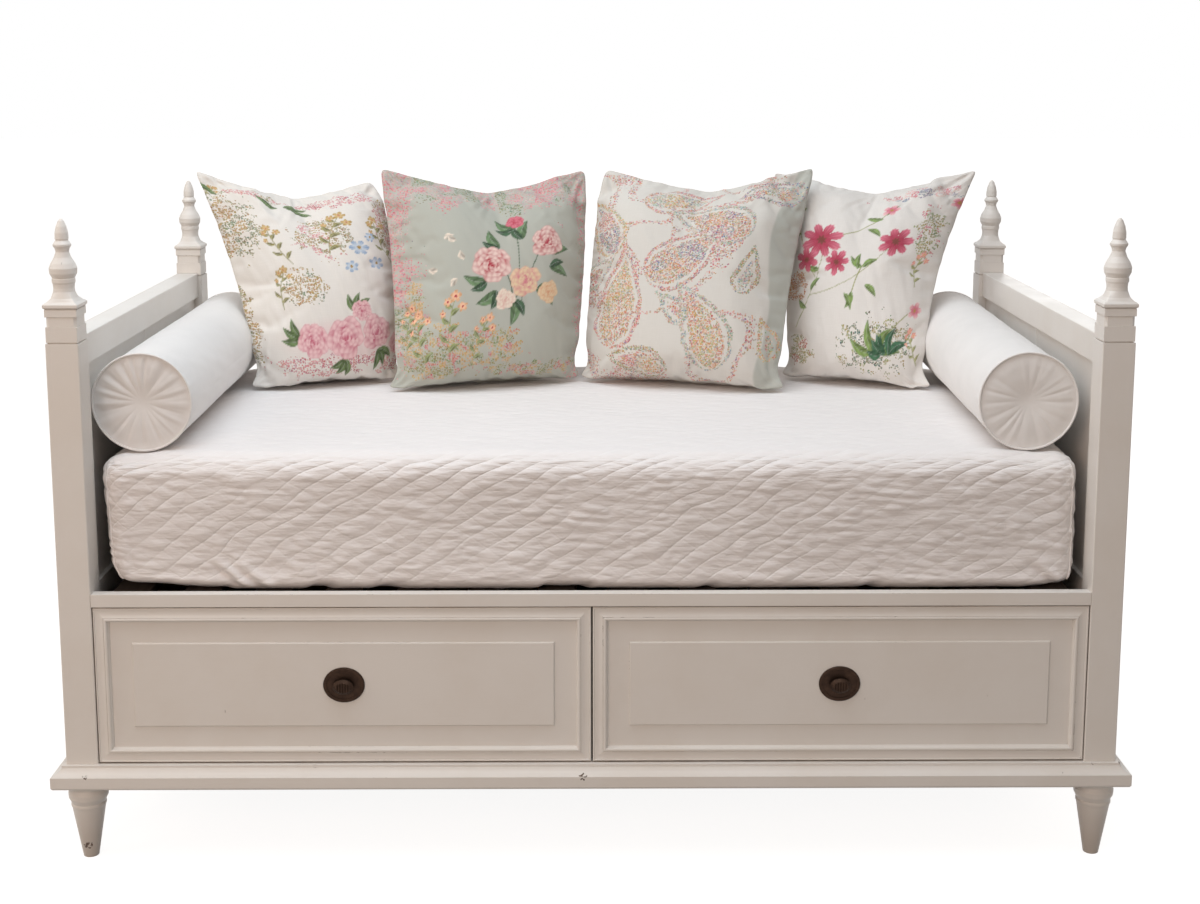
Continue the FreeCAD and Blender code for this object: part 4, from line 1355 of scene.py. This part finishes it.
def paint_sprigs(u: Array, v: Array) -> Canvas:
    """White linen with ochre bushes and sprigs, pink roses low down and blue blossoms.

    Args:
        u: places across.
        v: places up.

    Returns:
        The painted canvas.
    """
    canvas = Canvas(u, v, (0.80, 0.765, 0.72))
    ochre, olive, green = (0.42, 0.27, 0.07), (0.27, 0.25, 0.09), (0.13, 0.20, 0.08)
    pink, rose, blue = (0.69, 0.27, 0.31), (0.56, 0.13, 0.20), (0.24, 0.36, 0.55)
    wash = smooth(1.0 - np.hypot((u - 0.05) / 0.19, (v + 0.155) / 0.055), 0.0, 0.6)
    canvas.lay(0.45 * wash, (0.80, 0.52, 0.54))
    bushes = ((-0.165, 0.115, 0.060, 0.085, (ochre, green, olive)),
              (-0.195, -0.120, 0.034, 0.095, (ochre, olive)),
              (0.175, 0.120, 0.036, 0.070, (ochre, pink, olive)),
              (0.015, 0.085, 0.055, 0.060, (ochre, olive, pink)),
              (0.195, -0.060, 0.030, 0.080, (olive, ochre)), (-0.040, -0.045, 0.050, 0.038, (ochre, green)),
              (0.080, 0.205, 0.075, 0.022, (pink, rose)), (-0.090, 0.215, 0.060, 0.018, (pink, olive)))
    for seed, (x, y, wide, tall, colours) in enumerate(bushes):
        canvas.foliage(x, y, (wide, tall), colours, 50 + 3 * seed, 0.62)
    canvas.foliage(0.05, -0.205, (0.20, 0.026), (pink, rose), 91, 0.55)
    for row in ((-0.06, 0.01, 0.10, 1.9), (0.02, 0.03, 0.13, 1.2), (-0.10, -0.09, 0.09, 1.4),
                (0.16, 0.03, 0.11, 1.8), (-0.20, 0.18, 0.06, 0.9)):
        canvas.sprig(*row, olive, ochre, (0.55, 0.22, 0.14))
    for x, y, turn in ((-0.07, -0.150, 2.6), (0.03, -0.19, 4.2), (0.11, -0.175, 5.2), (0.185, -0.145, 0.2),
                       (0.06, -0.10, 1.4)):
        for swing in (-0.6, 0.0, 0.6):
            canvas.leaf(x, y, 0.046, 0.0085, turn + swing, green)
    for x, y, size, turn in ((-0.045, -0.155, 0.034, 0.3), (0.030, -0.150, 0.042, 1.1),
                             (0.105, -0.140, 0.036, 2.0), (0.165, -0.165, 0.024, 2.9),
                             (0.070, -0.095, 0.022, 0.7)):
        canvas.rose(x, y, size, rose, (0.85, 0.58, 0.59), turn)
    for x, y, size, turn in ((0.085, 0.055, 0.024, 0.1), (0.120, 0.020, 0.020, 0.8),
                             (0.060, 0.005, 0.017, 1.4), (0.115, 0.085, 0.014, 2.0)):
        canvas.blossom(x, y, size, 6, blue, (0.60, 0.67, 0.75), ochre, turn)
    for x, y, turn in ((-0.03, 0.185, -0.35), (-0.035, 0.19, 0.1), (-0.045, 0.185, 2.6),
                       (-0.21, 0.225, -0.4)):
        canvas.leaf(x, y, 0.052, 0.009, turn, green)
    return canvas


def paint_roses(u: Array, v: Array) -> Canvas:
    """Grey-green linen with a bunch of roses, a strewn upper edge and a low meadow.

    Args:
        u: places across.
        v: places up.

    Returns:
        The painted canvas.
    """
    canvas = Canvas(u, v, (0.475, 0.485, 0.43))
    green, dark, red = (0.13, 0.22, 0.11), (0.05, 0.11, 0.06), (0.45, 0.02, 0.05)
    pink, blush, cream = (0.66, 0.20, 0.26), (0.84, 0.64, 0.58), (0.80, 0.62, 0.40)
    edge = value_noise(u, v, (0.05, 0.05), 31)
    patches = value_noise(u, v, (0.03, 0.03), 32)
    top = smooth(v + 0.045 * edge - 0.03 * np.cos(u * 24), 0.145, 0.20)
    side = smooth(-u + 0.03 * edge, 0.165, 0.215) * smooth(v, -0.25, -0.05)
    rest = smooth(u + 0.02 * edge, 0.195, 0.23) * 0.8
    edges = 0.66 * np.maximum(np.maximum(top, side), rest)
    for colour, where in ((pink, patches > 0.05), (green, patches < -0.45),
                          ((0.52, 0.36, 0.36), patches <= 0.05)):
        canvas.strew(edges * where, colour)
    meadow = ((0.20, 0.25, 0.08), (0.52, 0.34, 0.10), (0.55, 0.15, 0.15))
    for seed, (x, y, *size) in enumerate(((-0.13, -0.175, 0.10, 0.050), (-0.02, -0.165, 0.085, 0.036),
                                          (-0.19, -0.09, 0.030, 0.070), (0.10, -0.215, 0.12, 0.020))):
        canvas.foliage(x, y, size, meadow, 120 + 5 * seed, 0.72)
    for row in ((-0.15, -0.21, 0.12, 1.8), (-0.05, -0.20, 0.10, 1.2), (-0.20, -0.18, 0.10, 1.5),
                (-0.10, -0.19, 0.13, 1.5)):
        canvas.sprig(*row, (0.25, 0.29, 0.11), (0.62, 0.33, 0.17), red)
    for x, y, ex, ey in ((0.03, -0.09, -0.01, 0.03), (0.05, -0.10, 0.115, 0.075),
                         (0.04, -0.10, 0.045, 0.115)):
        canvas.stem(((x, y), (x + 0.02, (y + ey) / 2), (ex, ey)), 0.0014, dark)
    for x, y, turn in ((-0.02, -0.03, 2.9), (0.00, -0.05, 3.7), (0.09, -0.05, 5.6), (0.12, 0.03, 0.3),
                       (0.06, 0.07, 1.3), (0.01, 0.05, 2.0), (0.12, 0.00, 5.9), (0.04, -0.07, 4.6),
                       (0.045, 0.10, 2.4)):
        canvas.leaf(x, y, 0.056, 0.0115, turn, green)
        canvas.leaf(x, y, 0.044, 0.0095, turn + 0.7, dark)
    for row in ((-0.010, 0.010, 0.043, red, blush, 0.4), (0.115, 0.062, 0.037, red, blush, 1.7),
                (0.065, -0.030, 0.034, pink, cream, 2.4), (0.048, 0.125, 0.019, red, pink, 0.2),
                (0.120, -0.055, 0.024, (0.70, 0.34, 0.20), cream, 1.0),
                (0.020, -0.070, 0.022, (0.72, 0.42, 0.36), (0.85, 0.74, 0.62), 2.0)):
        canvas.rose(*row)
    for x, y, turn in ((-0.11, 0.07, 0.5), (-0.085, 0.065, 2.4), (-0.07, 0.02, 1.9), (-0.13, 0.00, 3.0),
                       (-0.10, -0.04, 0.9)):
        canvas.leaf(x, y, 0.024, 0.0075, turn, (0.66, 0.58, 0.49))
    return canvas


def paint_drops(u: Array, v: Array) -> Canvas:
    """Pale cotton closely covered with large drops of many-coloured specks.

    Args:
        u: places across.
        v: places up.

    Returns:
        The painted canvas.
    """
    canvas = Canvas(u, v, (0.70, 0.675, 0.63))
    canvas.lay(0.9 * smooth(u + 0.012 * np.sin(v * 19), 0.188, 0.196), (0.47, 0.485, 0.44))
    rose, rust, gold = (0.60, 0.15, 0.18), (0.60, 0.27, 0.12), (0.62, 0.44, 0.14)
    teal, navy, moss = (0.30, 0.44, 0.40), (0.13, 0.17, 0.33), (0.27, 0.30, 0.12)
    drops = (
        (-0.150, -0.120, 0.170, 1.25, (rose, gold, rust)), (0.075, -0.165, 0.150, 1.9, (teal, gold, rust)),
        (-0.030, 0.000, 0.165, 0.55, (rose, navy, rust)), (-0.180, 0.070, 0.130, 1.9, (gold, rose, navy)),
        (0.090, 0.105, 0.150, 2.6, (teal, rust, navy)), (0.140, -0.030, 0.085, 1.2, (moss, gold, teal)),
        (-0.070, 0.185, 0.130, 0.1, (rose, teal, gold)), (-0.060, -0.215, 0.110, 2.7, (moss, rose, gold)),
        (0.200, 0.200, 0.110, 2.9, (navy, rust, teal)), (0.210, -0.170, 0.075, 1.7, (gold, rose, moss)),
        (0.000, -0.105, 0.070, 2.2, (teal, rose, gold)), (-0.235, -0.020, 0.085, 0.3, (teal, rust, rose)))
    for seed, row in enumerate(drops):
        canvas.drop(*row, 200 + 4 * seed)
    strand = np.abs(value_noise(u, v, (0.085, 0.07), 41))
    canvas.strew(0.5 * smooth(0.16 - strand, 0.0, 0.10) * smooth(0.19 - u, 0.0, 0.03), rose)
    return canvas


def paint_flowers(u: Array, v: Array) -> Canvas:
    """White linen with red and pink flowers on leafy stems and dark leaves low down.

    Args:
        u: places across.
        v: places up.

    Returns:
        The painted canvas.
    """
    canvas = Canvas(u, v, (0.80, 0.77, 0.735))
    green, dark, olive = (0.20, 0.30, 0.09), (0.05, 0.15, 0.08), (0.33, 0.34, 0.11)
    red, pink, pale = (0.45, 0.05, 0.10), (0.70, 0.20, 0.28), (0.88, 0.60, 0.60)
    for points in (((-0.17, -0.14), (-0.10, -0.06), (-0.075, 0.05)),
                   ((-0.12, -0.07), (0.00, -0.06), (0.085, 0.055)),
                   ((0.00, -0.06), (0.01, -0.02), (0.02, 0.00)), ((-0.05, 0.07), (0.02, 0.10), (0.06, 0.15)),
                   ((0.04, -0.21), (0.10, -0.14), (0.15, -0.10)),
                   ((-0.10, -0.05), (-0.14, 0.05), (-0.15, 0.13))):
        canvas.stem(points, 0.0013, olive)
    for x, y, turn in ((-0.13, -0.10, 2.5), (-0.12, -0.06, 0.7), (-0.09, -0.01, 2.8), (0.02, -0.005, 0.5),
                       (0.02, -0.005, 2.4), (0.00, -0.06, 4.3), (-0.02, -0.065, 5.2), (0.03, -0.045, 5.6),
                       (0.055, 0.14, 1.0), (0.05, 0.13, 2.8), (0.02, 0.10, 5.6), (-0.14, 0.08, 2.6),
                       (-0.15, 0.12, 0.9), (0.01, -0.01, 1.5)):
        canvas.leaf(x, y, 0.042, 0.0075, turn, green)
    canvas.foliage(0.075, -0.170, (0.10, 0.06), (dark, olive), 301, 0.5)
    for k in range(11):
        across, spread = 0.085 + 0.02 * math.sin(1.9 * k), 0.055 + 0.018 * math.sin(2.3 * k)
        canvas.leaf(across, -0.185, spread, 0.0105, 0.1 + k * 0.29, dark if k % 3 else green)
    canvas.foliage(-0.17, -0.045, (0.040, 0.036), ((0.50, 0.20, 0.08), (0.62, 0.30, 0.12)), 311, 0.9)
    canvas.foliage(0.16, 0.10, (0.034, 0.060), (olive, green, pink), 321, 0.6)
    canvas.foliage(0.12, 0.21, (0.10, 0.018), (pink, (0.20, 0.27, 0.42), pale), 331, 0.7)
    canvas.foliage(-0.16, -0.19, (0.045, 0.032), ((0.45, 0.13, 0.10), olive), 341, 0.7)
    for x, y, size, petals, turn in ((-0.085, 0.062, 0.056, 8, 0.3), (0.090, 0.062, 0.045, 7, 1.0),
                                     (-0.045, 0.005, 0.036, 7, 1.9), (-0.125, 0.015, 0.036, 6, 0.6)):
        canvas.blossom(x, y, size, petals, pink, red, (0.22, 0.06, 0.05), turn)
    for x, y, size in ((0.062, 0.158, 0.022), (0.170, -0.090, 0.022), (0.205, 0.180, 0.020),
                       (-0.155, 0.145, 0.018)):
        canvas.blossom(x, y, size, 5, pale, pink, (0.52, 0.30, 0.10), size * 60)
    for row in ((0.16, -0.04, 0.08, 1.5), (-0.20, 0.15, 0.07, 0.9), (0.19, -0.21, 0.08, 1.9)):
        canvas.sprig(*row, olive, (0.66, 0.26, 0.20), (0.70, 0.52, 0.20))
    return canvas


@dataclass
class ScatterCushion:
    """A knife-edged cushion that leans back, chopped at the top, swollen by a cloth simulation."""

    node: str
    design: Print
    corners: tuple[Triple, ...]
    left_in: float = 0.012
    right_in: float = 0.012
    dip_at: float = 0.52
    seed: int = 1
    cells: int = 52
    thick: float = 0.165
    top_in: float = 0.062
    chop: float = 0.34
    ear: float = 0.017
    tip: float = 0.011
    belly: float = 0.95
    lift: float = 0.016
    soft_dent: float = 0.0026
    drape: float = 0.0011
    crease_depth: tuple[float, float] = (0.0010, 0.0026)
    seam_wave: float = 0.0022
    seam_pucker: float = 0.0024
    pressure: float = 5.0
    slack: float = 0.060
    cap: float = 0.028
    frames: int = 20

    def surface(self, u: Array, v: Array, face: Array) -> Array:
        """Place points of the unswollen cushion.

        Args:
            u: share of the way across.
            v: share of the way up.
            face: 1 on the front, -1 on the back, 0 on the seam.

        Returns:
            The points.
        """
        bl, br, tl, tr = (np.array(corner) for corner in self.corners)
        across = br - bl + tr - tl
        across /= np.linalg.norm(across)
        up = tl - bl + tr - br
        up /= np.linalg.norm(up)
        out = np.cross(across, up)
        out /= np.linalg.norm(out)
        bow = 4 * v * (1 - v)
        ear = self.ear * np.exp(-(v / 0.045) ** 2) - 0.3 * self.ear * np.exp(-((v - 0.11) / 0.05) ** 2)
        left = bl + (tl - bl) * v[:, None] + across * (self.left_in * bow - ear)[:, None]
        right = br + (tr - br) * v[:, None] - across * (self.right_in * bow - ear)[:, None]
        aside = np.abs(u - self.dip_at) / np.where(u < self.dip_at, self.dip_at, 1 - self.dip_at)
        dent = self.top_in * v ** 3 * (1 - aside ** 1.3)
        points = left + (right - left) * u[:, None] - up * dent[:, None]
        arch = (4 * u * (1 - u)) ** 0.6
        seat = self.lift * arch * (1 - v) ** 7
        points[:, 2] += seat
        points -= out * (0.9 * seat)[:, None]
        tip = self.tip * np.exp(-(2 - np.abs(2 * u - 1) - np.abs(2 * v - 1)) / 0.04)
        points -= (across * np.sign(u - 0.5)[:, None] + up * np.sign(v - 0.5)[:, None]) * tip[:, None]
        full = v ** 0.85
        crown = ((1 - np.abs(2 * u - 1) ** 2.5) * (1 - np.abs(2 * full - 1) ** 2.5)).clip(0, 1) ** 0.66
        valley = self.chop * np.exp(-((u - self.dip_at) / 0.11) ** 2) * smooth(v, 0.40, 0.95)
        swell = self.thick / 2 * crown * (1 - valley)
        walk = np.where(np.minimum(u, 1 - u) < np.minimum(v, 1 - v), v + 2 * (u > 0.5), u + 4 * (v > 0.5))
        wave = value_noise(walk, walk * 0, (0.055, 1.0), self.seed)
        pucker = self.seam_wave * wave * np.exp(-rim_distance(u, v) / 0.03)
        belly = self.belly * swell * np.exp(-v / 0.18)
        return points + out * (face * swell + pucker)[:, None] - up * (np.abs(face) * belly)[:, None]

    def creases(self, u: Array, v: Array) -> Array:
        """Height of the soft dents, of the creases that run in from the corners, and of the seam's puckers.

        Args:
            u: share of the way across.
            v: share of the way up.

        Returns:
            Heights in metres.
        """
        random = np.random.default_rng(self.seed)
        height = self.soft_dent * value_noise(u, v, (0.21, 0.17), self.seed + 3)
        height += self.drape * value_noise(u + 0.5 * v, v - 0.4 * u, (0.035, 0.12), self.seed + 4)
        for corner_u, corner_v in ((0, 0), (1, 0), (0, 1), (1, 1), (self.dip_at, 1)):
            for _ in range(4):
                toward = math.atan2(0.5 - corner_v, 0.5 - corner_u) + random.uniform(-0.65, 0.65)
                along = (u - corner_u) * math.cos(toward) + (v - corner_v) * math.sin(toward)
                bend = 0.015 * np.sin(along * random.uniform(9, 16) + random.uniform(0, 6))
                aside = (v - corner_v) * math.cos(toward) - (u - corner_u) * math.sin(toward) + bend
                length, depth = random.uniform(0.16, 0.42), random.uniform(*self.crease_depth)
                fade = smooth(along, 0.01, 0.09) * smooth(length - along, 0.0, 0.7 * length)
                wide = 0.010 + 0.022 * np.clip(along, 0, 1)
                fold = np.exp(-(aside / wide) ** 2) - 0.8 * np.exp(-((aside - 1.7 * wide) / wide) ** 2)
                height += depth * fade * fold
        for near, run, key in ((u, v, 5), (1 - u, v, 6), (v, u, 7), (1 - v, u, 8)):
            gather = value_noise(run, run * 0, (0.040, 1.0), self.seed + key)
            height += self.seam_pucker * np.exp(-near / 0.05) * gather
        return height * smooth(rim_distance(u, v), 0.0, 0.025)

    def shell(self) -> Object:
        """Sew a front and a back along one seam.

        Returns:
            The cushion before it is swollen, with its flat places kept on its points.
        """
        n = self.cells
        i, j = (grid.ravel() for grid in np.meshgrid(np.arange(n + 1), np.arange(n + 1), indexing="ij"))
        rim = (i == 0) | (i == n) | (j == 0) | (j == n)
        front = np.arange(len(i))
        back = front.copy()
        back[~rim] = len(i) + np.arange(np.count_nonzero(~rim))
        u = np.concatenate((i, i[~rim])) / n
        v = np.concatenate((j, j[~rim])) / n
        face = np.concatenate((np.where(rim, 0.0, 1.0), np.full(np.count_nonzero(~rim), -1.0)))
        a, b = (grid.ravel() for grid in np.meshgrid(np.arange(n), np.arange(n), indexing="ij"))
        first = a * (n + 1) + b
        square = np.stack((first, first + n + 1, first + n + 2, first + 1), 1)
        faces = np.concatenate((front[square], back[square][:, ::-1]))
        piece = mesh_object(self.node.replace("cushion", "scatter_cushion"), self.surface(u, v, face), faces)
        for name, values in (("share_u", u), ("share_v", v), ("face", face)):
            store(piece.data, name, values)
        return piece

    def swell(self, piece: Object) -> None:
        """Swell the cushion with cloth under pressure, its seam held.

        Args:
            piece: the sewn shell.
        """
        held = piece.vertex_groups.new(name="seam")
        face = fetch(piece.data, "face")
        held.add([int(k) for k in np.flatnonzero(face == 0)], 1.0, "REPLACE")
        start = read_points(piece.data)
        modifier = piece.modifiers.new("cloth", "CLOTH")
        cloth = modifier.settings
        cloth.quality = 6
        cloth.mass = 0.25
        cloth.tension_stiffness = cloth.compression_stiffness = 12.0
        cloth.shear_stiffness = 4.0
        cloth.bending_stiffness = 0.25
        cloth.air_damping = 2.0
        cloth.use_pressure = True
        cloth.uniform_pressure_force = self.pressure
        cloth.shrink_min = -self.slack
        cloth.vertex_group_mass = "seam"
        cloth.pin_stiffness = 1.0
        cloth.effector_weights.gravity = 0.0
        modifier.collision_settings.use_self_collision = False
        scene = bpy.context.scene
        modifier.point_cache.frame_start, modifier.point_cache.frame_end = 1, self.frames
        for number in range(1, self.frames + 1):
            scene.frame_set(number)
        graph = bpy.context.evaluated_depsgraph_get()
        swollen = read_points(piece.evaluated_get(graph).data)
        piece.modifiers.clear()
        scene.frame_set(1)
        step = swollen - start
        size = np.linalg.norm(step, axis=1, keepdims=True)
        write_points(piece.data, start + step * np.minimum(1.0, self.cap / np.maximum(size, 1e-9)))

    def crumple(self, mesh: Mesh, floor: float) -> None:
        """Press the creases into the swollen cushion, and keep it on what it stands on.

        Args:
            mesh: the subdivided cushion.
            floor: height that it stands on.
        """
        normals = np.empty(len(mesh.vertices) * 3, np.float32)
        mesh.vertex_normals.foreach_get("vector", normals)
        height = self.creases(fetch(mesh, "share_u"), fetch(mesh, "share_v"))
        points = read_points(mesh) + normals.reshape(-1, 3) * height[:, None]
        points[:, 2] = np.maximum(points[:, 2], floor)
        write_points(mesh, points)

    def build(self, finish: Material) -> Object:
        """Model, swell and print the cushion.

        Args:
            finish: the printed linen.

        Returns:
            The cushion, seated on the bed.
        """
        piece = self.shell()
        self.swell(piece)
        points = read_points(piece.data)
        floor = self.corners[0][2]
        points[:, 2] = np.maximum(points[:, 2], floor)
        write_points(piece.data, points)
        finer = piece.modifiers.new("finer", "SUBSURF")
        finer.levels = finer.render_levels = 2
        evaluated_copy(piece)
        mesh = piece.data
        self.crumple(mesh, floor)
        bl, br, tl, tr = (Vector(corner) for corner in self.corners)
        wide = ((br - bl).length + (tr - tl).length) / 2
        tall = ((tl - bl).length + (tr - br).length) / 2
        u = (fetch(mesh, "share_u") - 0.5) * wide
        v = (fetch(mesh, "share_v") - 0.5) * tall
        canvas = self.design.paint(u, v)
        store(mesh, "print", np.concatenate((np.clip(canvas.rgb, 0, 1), np.ones((len(u), 1))), 1))
        store(mesh, "speck", np.concatenate((canvas.tint, canvas.density[:, None]), 1))
        lay_flat(mesh, "cloth", np.stack((u, v), 1)[corner_points(mesh)])
        mesh.shade_smooth()
        mesh.materials.append(finish)
        return settle(piece, self.design.value, self.node)


@dataclass
class Joinery:
    """Finishes for the bed's own wood and metal pieces."""

    along: tuple[str, ...] = ("plinth_front", "plinth_rear", "front_rail", "rear_rail", "back_panel",
                              "drawer_front", "drawer_moulding")
    upright: tuple[str, ...] = ("post", "finial", "foot_front", "foot_rear", "side_boards",
                                "side_lower_panel")
    deep: tuple[str, ...] = ("plinth_ends", "side_bottom_rail", "side_mid_rail", "side_top_rail")
    pine_along: tuple[str, ...] = ("drawer_back", "drawer_bottom")
    pine_deep: tuple[str, ...] = ("drawer_sides",)
    # pine under the mattress darkened almost to black: painted shade for the gaps round the mattress
    shadow_dark_pine_along: tuple[str, ...] = ("bearer", "slat_ledgers")
    shadow_dark_pine_deep: tuple[str, ...] = ("bed_slats", "drawer_runners", "drawer_kickers", "centre_divider")
    bronze: tuple[str, ...] = ("drawer_plate", "drawer_knob_left", "drawer_knob_right")
    steel: tuple[str, ...] = ("foot_studs", "drawer_knob_screw")
    # colours of the painted shade on the pine under the mattress
    shadow_dark_pine: tuple[Colour, Colour, str] = ((0.060, 0.041, 0.029), (0.034, 0.022, 0.015), "shadow_dark_pine")

    def dress(self) -> None:
        """Give each wood and metal piece its finish."""
        plan = ((self.along, PaintedWood(Axis.ALONG)), (self.upright, PaintedWood(Axis.UPRIGHT)),
                (self.deep, PaintedWood(Axis.DEEP)), (self.pine_along, BarePine(Axis.ALONG)),
                (self.pine_deep, BarePine(Axis.DEEP)),
                (self.shadow_dark_pine_along, BarePine(Axis.ALONG, *self.shadow_dark_pine)),
                (self.shadow_dark_pine_deep, BarePine(Axis.DEEP, *self.shadow_dark_pine)),
                (self.bronze, DarkBronze()), (self.steel, PlainSteel()))
        for starts, finish in plan:
            material = finish.build()
            for name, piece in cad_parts.items():
                if name.startswith(starts):
                    piece.data.materials.clear()
                    piece.data.materials.append(material)
            LOG.info("finish %s", material.name)


@dataclass
class Bedding:
    """The mattress, its cover, the bolsters and the scatter cushions."""

    floor: float = 0.8065

    def cushions(self) -> list[ScatterCushion]:
        """Corners of the four cushions: lower left, lower right, upper left, upper right."""
        low = self.floor
        return [
            ScatterCushion("cushion_far_left", Print.SPRIGS,
                           ((-0.765, 0.142, low), (-0.462, 0.270, low),
                            (-0.950, 0.375, low + 0.492), (-0.525, 0.415, low + 0.462)),
                           left_in=0.022, right_in=-0.042, seed=21),
            ScatterCushion("cushion_mid_left", Print.ROSES,
                           ((-0.451, 0.125, low), (-0.038, 0.260, low),
                            (-0.503, 0.350, low + 0.498), (-0.010, 0.405, low + 0.490)),
                           right_in=-0.010, seed=22),
            ScatterCushion("cushion_mid_right", Print.DROPS,
                           ((-0.016, 0.255, low), (0.428, 0.110, low),
                            (0.032, 0.400, low + 0.492), (0.535, 0.345, low + 0.500)),
                           left_in=-0.012, seed=23),
            ScatterCushion("cushion_far_right", Print.FLOWERS,
                           ((0.462, 0.285, low), (0.765, 0.130, low),
                            (0.440, 0.455, low + 0.482), (0.930, 0.375, low + 0.492)),
                           right_in=0.034, seed=24)]

    def build(self) -> None:
        """Model every soft piece."""
        QuiltedCover().build(QuiltedCotton().build())
        MattressCore().build(PlainCotton("mattress_ticking", (0.80, 0.78, 0.74), (0.34, 0.38, 0.45)).build())
        cotton = PlainCotton().build()
        Bolster("bolster_right", 5, lean=(-0.022, 0.003), pleat=0.0022).build(cotton)
        Bolster("bolster_left", 8, lean=(0.0, -0.007)).build(cotton)
        for cushion in self.cushions():
            cushion.build(cushion.design.finish().build())


@dataclass(frozen=True)
class PhotoCamera:
    """The camera that the bed was seen from, in the bed's own frame."""

    place: Triple = (-0.006, -3.5885, 1.5474)
    pitch: float = 8.6735
    yaw: float = 0.4018
    sensor_mm: float = 36.0
    focal_px: float = 1659.5
    image_px: tuple[int, int] = (1200, 904)
    axis_row_px: float = 315.0

    def build(self) -> None:
        """Set the scene's camera."""
        data = bpy.data.cameras.new("photo_camera")
        data.sensor_fit = "HORIZONTAL"
        data.sensor_width = self.sensor_mm
        data.lens = data.sensor_width * self.focal_px / self.image_px[0]
        data.shift_y = (self.axis_row_px - self.image_px[1] / 2) / self.image_px[0]
        camera = bpy.data.objects.new("photo_camera", data)
        camera.location = self.place
        camera.rotation_euler = (math.radians(90 - self.pitch), 0.0, math.radians(-self.yaw))
        bpy.context.scene.collection.objects.link(camera)
        bpy.context.scene.camera = camera


@dataclass(frozen=True)
class Lamp:
    """A soft rectangular lamp that faces the bed."""

    name: str
    place: Triple
    size: tuple[float, float]
    power: float
    colour: Colour

    def hang(self, aim: Vector) -> None:
        """Hang the lamp so that it faces a point.

        Args:
            aim: the point.
        """
        data = bpy.data.lights.new(self.name, "AREA")
        data.shape = "RECTANGLE"
        data.size, data.size_y = self.size
        data.energy = self.power
        data.color = self.colour
        lamp = bpy.data.objects.new(self.name, data)
        lamp.location = self.place
        lamp.rotation_euler = (aim - Vector(self.place)).to_track_quat("-Z", "Y").to_euler()
        bpy.context.scene.collection.objects.link(lamp)


@dataclass(frozen=True)
class Studio:
    """Pale floor and soft light."""

    floor_size: float = 60.0
    floor_colour: Colour = (0.32, 0.30, 0.28)
    floor_glow: float = 0.90
    ambient: float = 0.34
    ambient_colour: Colour = (1.0, 0.92, 0.86)
    aim: Triple = (0.0, 0.0, 0.6)
    lamps: tuple[Lamp, ...] = (
        Lamp("overhead", (-0.4, -0.7, 3.3), (2.6, 2.2), 52.0, (0.82, 0.92, 1.0)),
        Lamp("back_fill", (2.4, 3.6, 2.0), (2.4, 1.6), 20.0, (1.0, 0.97, 0.94)),
        Lamp("left_window", (-3.4, -1.0, 2.2), (2.0, 1.8), 20.0, (1.0, 0.96, 0.88)),
        Lamp("front_fill", (-2.0, -4.2, 2.2), (2.2, 1.4), 45.0, (1.0, 0.74, 0.58)))

    def floor(self) -> None:
        """Lay a pale floor that the camera sees as white and that keeps the bed's shadow."""
        half = self.floor_size / 2
        corners = np.array(((-half, -half, 0), (half, -half, 0), (half, half, 0), (-half, half, 0)))
        floor = mesh_object("studio_floor", corners, np.array(((0, 1, 2, 3),)))
        shader = Shader("studio_floor")
        glow = shader.times(shader.seen(), self.floor_glow)
        floor.data.materials.append(shader.finish(
            Base_Color=(*self.floor_colour, 1.0), Roughness=0.9, Emission_Color=(1.0, 1.0, 1.0, 1.0),
            Emission_Strength=glow))

    def world(self) -> None:
        """Light the room evenly, with a white backdrop for the camera."""
        world = bpy.data.worlds.new("studio")
        world.use_nodes = True
        shader = Shader("studio", world.node_tree)
        both = shader.add("MixShader")
        white = shader.add("Background", Color=(1.0, 1.0, 1.0, 1.0))
        plain = shader.add("Background", Color=(*self.ambient_colour, 1.0), Strength=self.ambient)
        for socket, value in zip(both.inputs, (shader.seen(), plain.outputs[0], white.outputs[0])):
            shader.put(socket, value)
        shader.put(world.node_tree.nodes["World Output"].inputs["Surface"], both.outputs[0])
        bpy.context.scene.world = world

    def build(self) -> None:
        """Set up floor, backdrop and lamps."""
        bpy.context.scene.view_settings.view_transform = "Standard"
        self.floor()
        self.world()
        for lamp in self.lamps:
            lamp.hang(Vector(self.aim))


def main() -> None:
    """Build the camera, the light, the joinery and the bedding."""
    logging.basicConfig(level=logging.INFO, format="%(message)s")
    PhotoCamera().build()
    Studio().build()
    Joinery().dress()
    Bedding().build()


if __name__ == "__main__":
    main()
